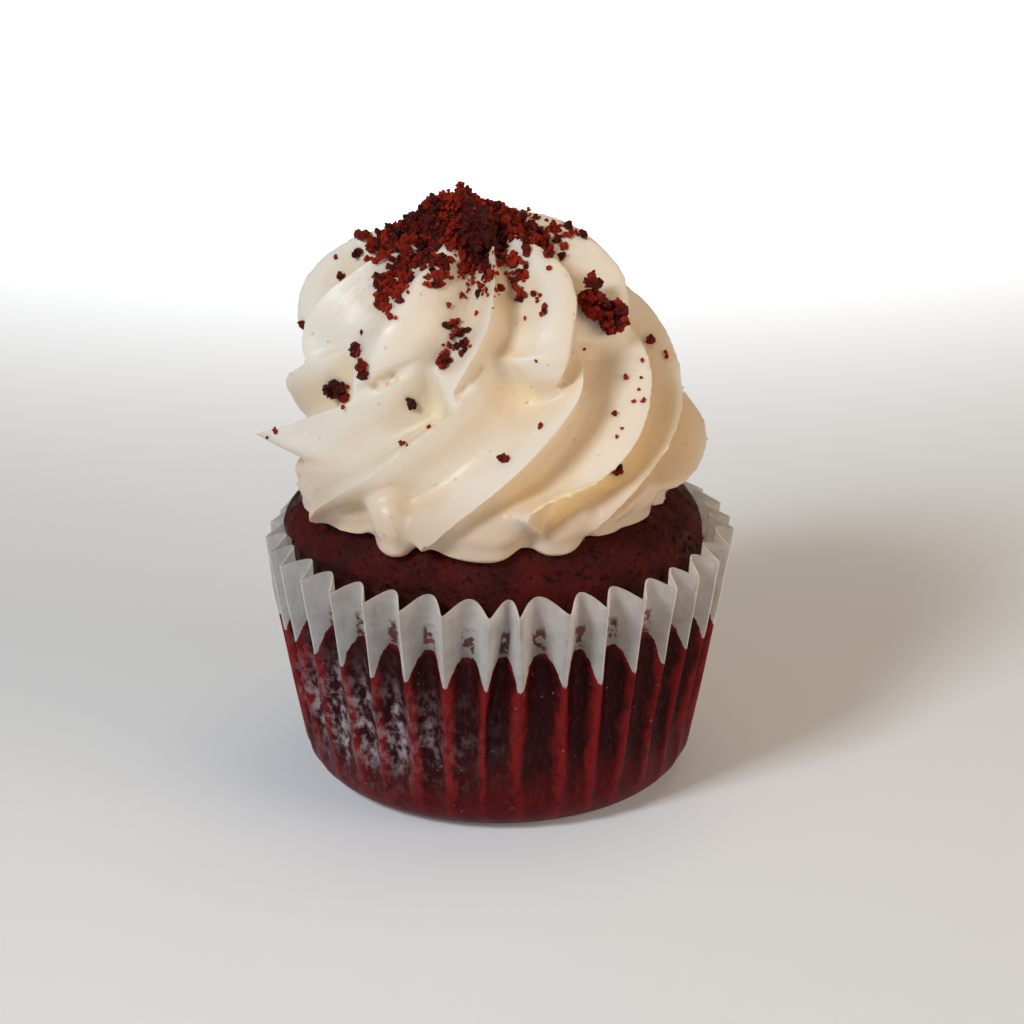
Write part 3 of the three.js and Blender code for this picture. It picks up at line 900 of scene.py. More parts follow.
    def bloom(self, points: np.ndarray, across: np.ndarray) -> np.ndarray:
        """Choose where fat has dried pale on the soaked paper: a patch at the left and one behind.

        Args:
            points: The sheet's points in millimetres.
            across: The place across a pleat, from 0 on an outer fold to 1 on an inner one.

        Returns:
            Its strength at each point.
        """
        x, y, z = points.T
        azimuth = np.degrees(np.arctan2(x, -y))
        left = np.exp(-(((azimuth + 47) / 26) ** 2) - ((z - 14.5) / 5.8) ** 2)
        behind = np.exp(-(((np.abs(azimuth) - 150) / 22) ** 2) - ((z - 12) / 5) ** 2)
        return np.clip((1.7 * left + 0.6 * behind) * (0.35 + across), 0, 1)


# ---- The sponge --------------------------------------------------------------------------------


@dataclass
class Sponge:
    """The red sponge: it fills the case and domes over its rim."""

    outline: Outline = ((0, 45.6), (10, 45.0), (18, 43.5), (23, 41.8), (26, 39.5), (27.9, 36.6), (28.5, 33.4))
    floor: float = 0.6
    wall: Outline = ((28.3, 30.0), (27.6, 20.0), (26.2, 9.0), (24.6, 3.4), (20.4, 0.6))
    offset: float = -0.1
    overhang: float = 1.5
    pore: float = 1.7
    pore_depth: float = 0.42
    columns: int = 300
    rings: int = 200
    dome_rings: float = 0.72
    finish: SpongeFinish = field(default_factory=SpongeFinish)

    def dome(self, radius: np.ndarray) -> np.ndarray:
        """Work out the dome's height at a distance from its axis."""
        fine = spline_through(self.outline, 20)
        return np.interp(radius, fine[:, 0], fine[:, 1])

    def build(self) -> None:
        """Model the sponge: a ball pulled out to its outline, with most of its rings in the dome."""
        piece, share, angle = add_ball("sponge_cake", self.columns, self.rings)
        dome = spline_through(self.outline, 30)
        side = spline_through(self.outline[-1:] + self.wall, 10)[1:]
        path = np.concatenate([dome, side, [[0, self.floor]]])
        walked = lengths_along(path)
        where = np.interp(share, [0, self.dome_rings, 1], [0, walked[len(dome) - 1], walked[-1]])
        radius = np.interp(where, walked, path[:, 0])
        height = np.interp(where, walked, path[:, 1])
        offset = self.offset * np.clip((height - 30) / 6, 0, 1)
        over = smooth_step(34.6, 36.2, height) * (1 - smooth_step(37, 43, height))
        radius = radius + self.overhang * over * np.clip(-np.cos(angle), 0, 1) ** 2
        moved = np.stack([offset + radius * np.cos(angle), radius * np.sin(angle), height], axis=1)
        write_points(piece, moved * MM)
        self.roughen(piece)
        shade_smooth(piece, 60)
        dress(piece, self.finish.material(), "red_sponge", "sponge")

    def roughen(self, piece: Piece) -> None:
        """Swell the smooth dome unevenly and open its pores, more of them at the right."""
        points = read_points(piece) / MM
        top = smooth_step(30, 33, points[:, 2])
        swell = noise_at(points, 9.0, 1) * 0.35 + noise_at(points, 2.2, 2) * 0.16
        grain = noise_at(points, 0.7, 3) * 0.06
        some = noise_at(points, 3.1, 5) + 0.35 * smooth_step(4, 20, points[:, 0])
        pit = (1 - smooth_step(0.14, 0.3, cells_at(points, self.pore))) * smooth_step(-0.05, 0.3, some)
        outwards = (swell + grain - self.pore_depth * pit) * top - 0.1
        write_points(piece, (points + read_normals(piece) * outwards[:, None]) * MM)
        write_attribute(piece, "pit", pit * top)


# ---- The cream ---------------------------------------------------------------------------------


@dataclass(frozen=True)
class Ridge:
    """One piped ridge: its crest's azimuths at the turn's levels, and the place of the valley after it.

    The reach is how far the crest stands out from the outline at each level, and nothing if empty. The
    drop is how far its lower end hangs below the turn. A ridge with levels of its own uses them instead.
    The shoulders are how long the sides before and after the crest stay level, and the lifts raise the
    lower ends of those sides.
    """

    azimuths: tuple[float, ...]
    valley: float = 0.5
    reach: tuple[float, ...] = ()
    drop: float = 0.0
    levels: tuple[float, ...] = ()
    shoulders: Pair = (1.5, 1.0)
    lifts: Pair = (0.0, 0.0)

    def follow(self, turn: "Turn", outline: EvenOutline, values: Sequence[float],
               length: np.ndarray) -> np.ndarray:
        """Follow values along the outline.

        Args:
            turn: The ridge's turn.
            outline: The turn's outline.
            values: The values at the levels, or none for 0 all along.
            length: The lengths of the outline to read them at.

        Returns:
            One value for each length.
        """
        places = [outline.length_at(level) for level in self.levels or turn.levels]
        return smooth_values(places, values or (0.0,) * len(places), length)


@dataclass(frozen=True)
class Turn:
    """One turn of piped cream. Its levels are heights on its outline, from the top down."""

    name: str
    centre: Pair
    outline: Outline
    depth: float
    depth_from: Pair
    levels: tuple[float, ...]
    ridges: tuple[Ridge, ...]
    rounded: bool = False
    rise: float = 0.0
    tilt: float = 0.0


FOOT = Turn(
    name="foot",
    centre=(-2.0, -0.6),
    outline=((0, 52), (20, 50), (26.2, 47.5), (27.9, 44.6), (27.4, 41.8), (24.5, 39.2), (0, 36.5)),
    depth=4.4,
    depth_from=(8, 22),
    rounded=True,
    levels=(47.5, 44.5, 41.5),
    ridges=(
        Ridge((-64, -58, -54), 0.66, (-1.4, -1.9, -1.9)),
        Ridge((-29, -26, -25.5), 0.24, (0.3, 0.3, 0.2)),
        Ridge((8, 4, 2), 0.55),
        Ridge((38, 28, 22), 0.47, (-0.4, -0.4, -0.3)),
        Ridge((66, 54, 46), 0.6, (-1.2, -1.9, -2.3)),
        Ridge((97, 87, 79), 0.5, (-1.6, -2.3, -2.7)),
        Ridge((131, 120, 112), 0.5, (-1.0, -1.6, -2.0)),
        Ridge((168, 157, 149)),
        Ridge((205, 194, 186)),
        Ridge((241, 230, 222), 0.5, (-0.5, -0.5, -0.5)),
        Ridge((272, 264, 258), 0.5, (-3.0, -3.4, -3.4)),
    ),
)
LOWER = Turn(
    name="lower",
    centre=(-2.0, -0.3),
    outline=((0, 69), (12, 68), (18, 65.5), (23.3, 61), (27, 56), (29, 51), (29.6, 46.6), (28.2, 43.4),
             (24, 42), (0, 42)),
    depth=5.2,
    depth_from=(9, 23),
    levels=(65, 61, 57, 53, 49, 45.5, 42.5),
    ridges=(
        Ridge((-50, -66, -82, -95, -107, -118, -127), 0.5, (0, 1.2, 0.6, -2.2, -3, -3, -3)),
        Ridge((-18, -33, -52, -68, -83, -94, -103), 0.66, (0, 0, 0, 0.2, 1.6, -4.2, -5.5)),
        Ridge((3.5, -5.5, -16, -25.5, -35, -45, -54), 0.46, (0, 0, 0, 0, 0.4, 1.1, 1.4)),
        Ridge((42.5, 35, 22, 11, 1, -8, -16), 0.3, (0, 0, 0, 0, 0.3, 0.8, 1.0), drop=0.5),
        Ridge((78, 71.5, 58, 45, 31, 16.5, 11.3, 14, 16), 0.4, (0, 0, 0, 0, 0.3, 0.6, 0.8, 0.3, -1.2),
              levels=(65, 61, 57, 53, 50, 48.5, 46.9, 45, 43)),
        Ridge((112, 103, 90, 69, 49, 36, 30), 0.5, (1.6, 1.2, 0.3, 0, -0.2, 0.2, 0.2)),
        Ridge((143, 131, 118, 100, 82, 68, 60), 0.5, (1, 0.2, -1.6, -1, 1.4, 0.4, -2.5)),
        Ridge((177, 168, 155, 138, 122, 109, 101)),
        Ridge((214, 205, 192, 175, 159, 146, 138)),
        Ridge((253, 244, 231, 214, 198, 185, 177)),
    ),
    rise=3.6,
)
UPPER = Turn(
    name="upper",
    centre=(-4.6, 0),
    outline=((0, 78.6), (7, 77.9), (13, 76.2), (18, 73.4), (21.4, 70), (22.9, 66), (22.9, 62.6), (21.2, 60),
             (18.8, 57.2), (12, 55.5), (0, 55.5)),
    depth=4.8,
    depth_from=(2, 17),
    levels=(77.5, 74, 70.5, 67, 63.5, 60.6),
    ridges=(
        Ridge((-92, -96, -98, -99, -100, -101), 0.5, (1, 1.5, 1, 0.3, -0.5, -3)),
        Ridge((-55, -65, -69, -70, -66, -62), 0.5, (0, 0, 0, 0, -0.2, -1.6)),
        Ridge((-16, -24, -27.5, -31, -36, -40), 0.76, (0, 0, 0, 0, 0.6, 0.3), drop=0.6, shoulders=(1.5, 2.0),
              lifts=(0, 1.2)),
        Ridge((25, 14.5, 10.5, 5.5, -1, -6), 0.3, (0, 0, 0, 0, 0.4, 0.5), drop=1.6),
        Ridge((50, 51.5, 46, 40, 35, 31), 0.42, (0, 0, 0, 0.3, 1.1, 1.0), drop=0.5, shoulders=(3.0, 1.0),
              lifts=(2.8, 0)),
        Ridge((97, 92, 85, 78, 74, 70)),
        Ridge((129, 124, 120, 117, 114, 110)),
        Ridge((163, 158, 155, 152, 149, 145)),
        Ridge((199, 194, 191, 188, 185, 181)),
        Ridge((235, 230, 227, 224, 221, 217)),
    ),
    tilt=0.09,
)


@dataclass
class Frosting:
    """The swirl of cream, piped in three turns with a ten-point nozzle."""

    sponge: Sponge
    turns: tuple[Turn, ...] = (FOOT, LOWER, UPPER)
    core_centre: Pair = (-3.6, -0.2)
    core_outline: Outline = ((0, 66.5), (13.4, 66), (17.2, 64.2), (18.4, 61), (18.4, 57), (16, 54), (0, 54))
    core_swells: tuple[tuple[float, float, float], ...] = ((-1.0, 9.0, 4.3), (-33.0, 12.0, 2.6))
    columns_per_ridge: int = 30
    rings: int = 150
    core_columns: int = 160
    core_rings: int = 80
    voxel: float = 0.425
    fill: float = 0.45
    crest_waver: float = 0.18
    rise_from: float = 46.0
    rise_over: float = 20.0
    rise_azimuth: float = 112.0
    rise_reach: float = 29.0
    seat: float = 0.35
    ridge_width: float = 6.0
    seam_jump: float = 2.0
    hollow_rays: int = 14
    hollow_reach: float = 7.0
    hollow_clear: float = 0.15
    finish: CreamFinish = field(default_factory=CreamFinish)

    def turn_mesh(self, turn: Turn) -> Piece:
        """Model one turn: a ball pulled out to its outline and drawn in between its crests.

        Args:
            turn: The turn's sizes.

        Returns:
            The closed turn, with the attributes across and along.
        """
        ridges, count = turn.ridges, len(turn.ridges)
        columns = self.columns_per_ridge * count
        piece, down, angle = add_ball(turn.name, columns, self.rings)
        outline = EvenOutline.along(turn.outline, self.rings * 4)
        length = down * outline.length[-1]
        column = np.round(angle / (2 * math.pi) * columns).astype(int) % columns
        ridge, step = np.divmod(column, self.columns_per_ridge)
        share = step / self.columns_per_ridge
        valley = np.array([r.valley for r in ridges])[ridge]
        behind = share < valley
        flank = np.where(behind, share / valley, (1 - share) / (1 - valley))
        near, side = np.where(behind, ridge, (ridge + 1) % count), behind.astype(int)
        every = np.arange(len(length))
        azimuths = np.stack([r.follow(turn, outline, r.azimuths, length) for r in ridges])
        azimuths = np.concatenate([azimuths, azimuths[:1] + 360])
        angle = azimuth_angle(azimuths[ridge, every] * (1 - share) + azimuths[ridge + 1, every] * share)
        reach = np.stack([r.follow(turn, outline, r.reach, length) for r in ridges])[near, every]
        shoulder = np.array([r.shoulders for r in ridges])[near, side]
        low, high = turn.depth_from
        depth = turn.depth * np.clip((length - low) / (high - low), 0, 1)
        waver = noise_at(np.stack([ridge * 7.7, length * 0.35, length * 0], 1), 1.0, 3)
        crest = (self.crest_waver * waver + reach) * (1 - flank)
        outwards = crest + self.fill - depth * self.fall(turn, flank, shoulder)
        radius, height, normal_r, normal_z = outline.at(length)
        pole = (length < 1e-3) | (length > outline.length[-1] - 1e-3)
        out = np.where(pole, 0, np.maximum(0.2, radius + normal_r * outwards))
        x, y = out * np.cos(angle), out * np.sin(angle)
        drop = np.array([r.drop for r in ridges])[near] * (1 - flank) * (1 - 3 * flank)
        lift = np.array([r.lifts for r in ridges])[near, side] * 4 * flank * (1 - flank)
        before, last = (outline.length_at(turn.levels[i]) for i in (-3, -1))
        low_end = smooth_step(before, last, length) * (1 - smooth_step(last + 3, last + 12, length))
        z = height + np.where(pole, 0, normal_z * outwards) + turn.tilt * x
        z += self.climb(turn, x, y, height) - (drop - lift) * low_end
        write_points(piece, np.stack([turn.centre[0] + x, turn.centre[1] + y, z], axis=1) * MM)
        write_attribute(piece, "across", (ridge + share) * self.ridge_width * MM)
        write_attribute(piece, "along", length * MM)
        return piece

    def climb(self, turn: Turn, x: np.ndarray, y: np.ndarray, height: np.ndarray) -> np.ndarray:
        """Work out how far a turn has climbed on the side where the piping goes on to the next one."""
        angle = azimuth_angle(self.rise_azimuth)
        side = np.clip((x * math.cos(angle) + y * math.sin(angle)) / self.rise_reach, 0, 1)
        return turn.rise * np.clip((height - self.rise_from) / self.rise_over, 0, 1) * side**1.5

    def core(self) -> Piece:
        """Model the cream inside the turns, which shows deep in the creases between them.

        Returns:
            The closed core, with a swell of a width, in degrees, and a depth at each azimuth of its own.
        """
        piece, down, angle = add_ball("core", self.core_columns, self.core_rings)
        outline = EvenOutline.along(self.core_outline, self.core_rings * 3)
        radius, height = outline.at(down * outline.length[-1])[:2]
        share = radius / outline.radius.max()
        for azimuth, width, swell in self.core_swells:
            away = np.degrees(np.arccos(np.cos(angle - azimuth_angle(azimuth)))) / width
            radius = radius + swell * share * np.exp(-away**2)
        x, y = self.core_centre[0] + radius * np.cos(angle), self.core_centre[1] + radius * np.sin(angle)
        write_points(piece, np.stack([x, y, height], axis=1) * MM)
        return piece

    def fall(self, turn: Turn, flank: np.ndarray, shoulder: np.ndarray) -> np.ndarray:
        """Work out how far a ridge falls away beside its crest.

        Args:
            turn: The turn's sizes.
            flank: The place from 0 on a crest to 1 in a valley.
            shoulder: How long the side stays level beside the crest.

        Returns:
            The fall as a share of the turn's depth.
        """
        if turn.rounded:
            return 1 - np.sqrt(1 - flank**2)
        return np.sin(math.pi / 2 * flank) ** shoulder

    def build(self) -> Piece:
        """Model the cream.

        Returns:
            The finished swirl.
        """
        turns = [self.turn_mesh(turn) for turn in self.turns]
        piped = join("frosting_swirl", *turns, self.core())
        tree = surface_of(piped)
        across, along = read_attribute(piped, "across"), read_attribute(piped, "along")
        corners = [face.vertices[0] for face in piped.data.polygons]
        apply_modifier(piped, "REMESH", mode="VOXEL", voxel_size=self.voxel * MM)
        apply_modifier(piped, "SMOOTH", factor=0.5, iterations=3)
        points = read_points(piped)
        source = np.array([corners[tree.find_nearest(Vector(point))[2]] for point in points])
        across, along = across[source], along[source]
        write_points(piped, points - read_normals(piped) * self.fill * MM)
        self.soften_creases(piped, 2)
        apply_modifier(piped, "SMOOTH", factor=0.5, iterations=1)
        self.seat_on_sponge(piped)
        write_attribute(piped, "across", across)
        write_attribute(piped, "along", along)
        write_attribute(piped, "streaky", self.away_from_seams(piped, across, along))
        # the material paints shade and a yellow glow into the hollows by this measure
        write_attribute(piped, "hollow", self.hollows(piped))
        # the material paints a highlight along the crests by this measure
        write_attribute(piped, "crest", -np.sum(self.pull(piped) * read_normals(piped), axis=1) / MM)
        shade_smooth(piped, 80)
        dress(piped, self.finish.material(), "cream_frosting", "frosting")
        return piped

    def away_from_seams(self, piece: Piece, across: np.ndarray, along: np.ndarray) -> np.ndarray:
        """Tell where the streaks run on without a break.

        Args:
            piece: The swirl.
            across: The place across the ridges for each vertex, in metres.
            along: The place along them.

        Returns:
            0 where one turn meets another, rising to 1 a short way off.
        """
        first, second = ends = read_edges(piece)
        jump = np.abs(across[first] - across[second]) + np.abs(along[first] - along[second])
        seam = np.zeros(len(across))
        seam[ends[:, jump > self.seam_jump * MM]] = 1
        return np.clip(1 - 5 * blurred(piece, seam, 9), 0, 1)

    def soften_creases(self, piece: Piece, times: int) -> None:
        """Fill the creases a few times over and leave the crests as they are."""
        for _ in range(times):
            move = self.pull(piece)
            hollow = np.sum(move * read_normals(piece), axis=1) > 0
            write_points(piece, read_points(piece) + move * 0.9 * hollow[:, None])

    def pull(self, piece: Piece) -> np.ndarray:
        """Work out the way from each vertex to the mean of itself and its neighbours."""
        points = read_points(piece)
        return np.stack([blurred(piece, axis, 1) for axis in points.T], axis=1) - points

    def seat_on_sponge(self, piece: Piece) -> None:
        """Press the underside onto the sponge's dome."""
        points = read_points(piece) / MM
        radius = np.hypot(points[:, 0] - self.sponge.offset, points[:, 1])
        lowest = self.sponge.dome(radius) - self.seat
        points[:, 2] = np.maximum(points[:, 2], lowest)
        write_points(piece, points * MM)

    def hollows(self, piece: Piece) -> np.ndarray:
        """Measure how enclosed each vertex is: the share of short rays from it that meet the cream again."""
        tree = surface_of(piece)
        rays = self.ray_fan()
        shares = []
        for point, normal in zip(read_points(piece), read_normals(piece)):
            upright = Vector(normal)
            start = Vector(point) + upright * (self.hollow_clear * MM)
            turn = upright.to_track_quat("Z", "Y")
            hits = [tree.ray_cast(start, turn @ ray, self.hollow_reach * MM)[0] for ray in rays]
            shares.append(sum(hit is not None for hit in hits) / len(rays))
        return blurred(piece, np.array(shares), 4)

    def ray_fan(self) -> list[Vector]:
        """Spread the rays evenly over most of the upper half of a ball."""
        fan = []
        for i in range(self.hollow_rays):
            up = 1 - (i + 0.5) / self.hollow_rays * 0.85
            out = math.sqrt(1 - up * up)
            fan.append(Vector((out * math.cos(i * GOLDEN_ANGLE), out * math.sin(i * GOLDEN_ANGLE), up)))
        return fan


# ---- The crumbs --------------------------------------------------------------------------------


class Grain(Enum):
    """How finely a crumb is modelled: the steps that its ball is divided in."""

    SPECK = 2
    CRUMB = 3
    LUMP = 4

    @classmethod
    def of(cls, radius: float) -> "Grain":
        """Choose for a crumb's radius in millimetres."""
        return cls.SPECK if radius < 0.6 else cls.CRUMB if radius < 1.3 else cls.LUMP


@dataclass
class CrumbMaker:
    """Makes broken crumbs, each a knot of small grains with its own tone."""

    seed: int = 11
    kinds: int = 8
    rng: random.Random = field(init=False)
    shapes: dict[Grain, list[tuple[np.ndarray, np.ndarray]]] = field(init=False)

    def __post_init__(self) -> None:
        """Model the kinds of crumb that are copied."""
        self.rng = random.Random(self.seed)
        self.shapes = {grain: [self.shape(kind, grain) for kind in range(self.kinds)] for grain in Grain}

    def shape(self, kind: int, grain: Grain) -> tuple[np.ndarray, np.ndarray]:
        """Model one kind of crumb at a radius of 1.

        Args:
            kind: Its number.
            grain: How finely it is modelled.

        Returns:
            Its vertices, and its triangles.
        """
        deselect_all()
        bpy.ops.mesh.primitive_ico_sphere_add(subdivisions=grain.value, radius=1)
        piece = take("crumb_kind")
        points = read_points(piece)
        knots, grains = cells_at(points, 0.85, kind), cells_at(points, 0.34, kind)
        out = np.maximum(0.35, 1.35 - 0.7 * knots - 0.5 * grains + 0.5 * noise_at(points, 1.2, kind + 1))
        stretch = np.array([self.rng.uniform(0.7, 1.25) for _ in range(3)])
        faces = np.array([tuple(face.vertices) for face in piece.data.polygons])
        bpy.data.objects.remove(piece, do_unlink=True)
        return points * out[:, None] * stretch, faces

    def pour(self, name: str, places: Sequence[Crumb]) -> Piece:
        """Make one mesh, with a name, of many crumbs in their places."""
        vertices, faces, tones, count = [], [], [], 0
        for centre, radius, tone in places:
            shape, corners = self.shapes[Grain.of(radius)][self.rng.randrange(self.kinds)]
            turn = Vector([self.rng.gauss(0, 1) for _ in range(3)]).to_track_quat("Z", "Y").to_matrix()
            spin = np.array(turn)
            vertices.append(shape @ spin.T * radius + np.array(centre))
            faces.append(corners + count)
            tones.append(np.full(len(shape), tone))
            count += len(shape)
        mesh = bpy.data.meshes.new(name)
        mesh.from_pydata(np.concatenate(vertices) * MM, [], np.concatenate(faces).tolist())
        piece = bpy.data.objects.new(name, mesh)
        bpy.context.scene.collection.objects.link(piece)
        write_attribute(piece, "tone", np.concatenate(tones))
        return piece


@dataclass(frozen=True)
class Strewn:
    """Crumbs of one radius in millimetres, strewn round one spot of the front view.

    The spot's place, from the middle of the view, and the spread are counted in steps of the view.
    """

    across: float
    up: float
    radius: float
    count: int = 1
    spread: Pair = (0.0, 0.0)


TRAILS = (
    Strewn(-122, 266, 0.8, 50, (20, 16)),
    Strewn(-112, 242, 0.8, 55, (16, 16)),
    Strewn(-122, 222, 0.85, 40, (18, 12)),
    Strewn(-124, 204, 0.75, 16, (6, 9)),
    Strewn(-80, 250, 0.8, 40, (16, 14)),
    Strewn(-76, 232, 0.55, 18, (12, 8)),
    Strewn(-46, 262, 1.1, 10, (12, 12)),
    Strewn(-50, 244, 0.7, 20, (12, 14)),
    Strewn(-24, 238, 0.65, 30, (11, 17)),
    Strewn(6, 238, 0.55, 30, (10, 16)),
    Strewn(20, 276, 0.8, 30, (20, 11)),
    Strewn(52, 280, 0.7, 16, (14, 7)),
    Strewn(-118, 283, 0.75, 30, (20, 10)),
    Strewn(-40, 280, 2.9, 2, (6, 6)),
    Strewn(-36, 272, 2.2, 2, (8, 6)),
    Strewn(-10, 314, 0.75, 14, (16, 6)),
    Strewn(-22, 222, 0.42, 12, (14, 14)),
    Strewn(-48, 222, 0.42, 8, (12, 10)),
    Strewn(-36, 238, 0.5, 14, (14, 16)),
    Strewn(-22, 256, 0.6, 14, (12, 12)),
)
LOOSE = (
    Strewn(-150, 277, 1.0, 2, (3, 1)),
    Strewn(-154, 260, 0.85, 3, (4, 2)),
    Strewn(-176, 255, 0.4),
    Strewn(-170, 235, 0.75, 3, (5, 2)),
    Strewn(-138, 235, 0.4),
    Strewn(-150, 179, 0.4),
    Strewn(-79, 228, 0.5, 8, (7, 6)),
    Strewn(-64, 207, 0.5),
    Strewn(-61, 191, 0.3),
    Strewn(-34, 218, 0.6),
    Strewn(-35, 198, 0.4),
    Strewn(-54, 181, 0.6, 12, (11, 7)),
    Strewn(-46, 166, 0.6, 12, (11, 8)),
    Strewn(-64, 166, 0.45, 6, (9, 6)),
    Strewn(-69, 152, 1.05, 5, (6, 4)),
    Strewn(-209, 189, 0.6),
    Strewn(-154, 160, 0.85, 8, (4, 8)),
    Strewn(-151, 142, 0.85, 7, (4, 5)),
    Strewn(-176, 124, 1.3, 3, (9, 2)),
    Strewn(-172, 120, 0.7, 10, (12, 6)),
    Strewn(-169, 106, 0.4),
    Strewn(-102, 108, 0.8, 3, (2, 4)),
    Strewn(-83, 84, 0.35),
    Strewn(-107, 67, 0.55, 3, (5, 2)),
    Strewn(-244, 75, 0.4),
    Strewn(-236, 82, 0.5),
    Strewn(-227, 86, 0.4),
    Strewn(16, 259, 0.7, 3, (4, 3)),
    Strewn(37, 257, 0.7, 4, (4, 3)),
    Strewn(37, 243, 0.5),
    Strewn(2, 250, 0.6, 5, (5, 8)),
    Strewn(5, 234, 0.7, 6, (5, 5)),
    Strewn(8, 216, 0.75, 8, (5, 7)),
    Strewn(25, 214, 0.55, 6, (6, 5)),
    Strewn(32, 200, 0.6, 5, (4, 6)),
    Strewn(13, 193, 0.35),
    Strewn(24, 151, 0.35),
    Strewn(72, 163, 0.3),
    Strewn(138, 172, 0.7, 2, (2, 2)),
    Strewn(154, 157, 0.5, 2, (1, 4)),
    Strewn(130, 151, 0.4),
    Strewn(115, 134, 0.45, 2, (3, 1)),
    Strewn(129, 134, 0.35),
    Strewn(127, 122, 0.35),
    Strewn(131, 111, 0.45, 2, (2, 1)),
    Strewn(122, 110, 0.35),
    Strewn(102, 98, 0.55, 2, (2, 1)),
    Strewn(110, 83, 0.35),
    Strewn(105, 75, 0.4),
    Strewn(105, 41, 0.95, 3, (2, 4)),
    Strewn(29, 85, 0.5, 2, (1, 1)),
    Strewn(-7, 52, 0.6, 2, (3, 1)),
)


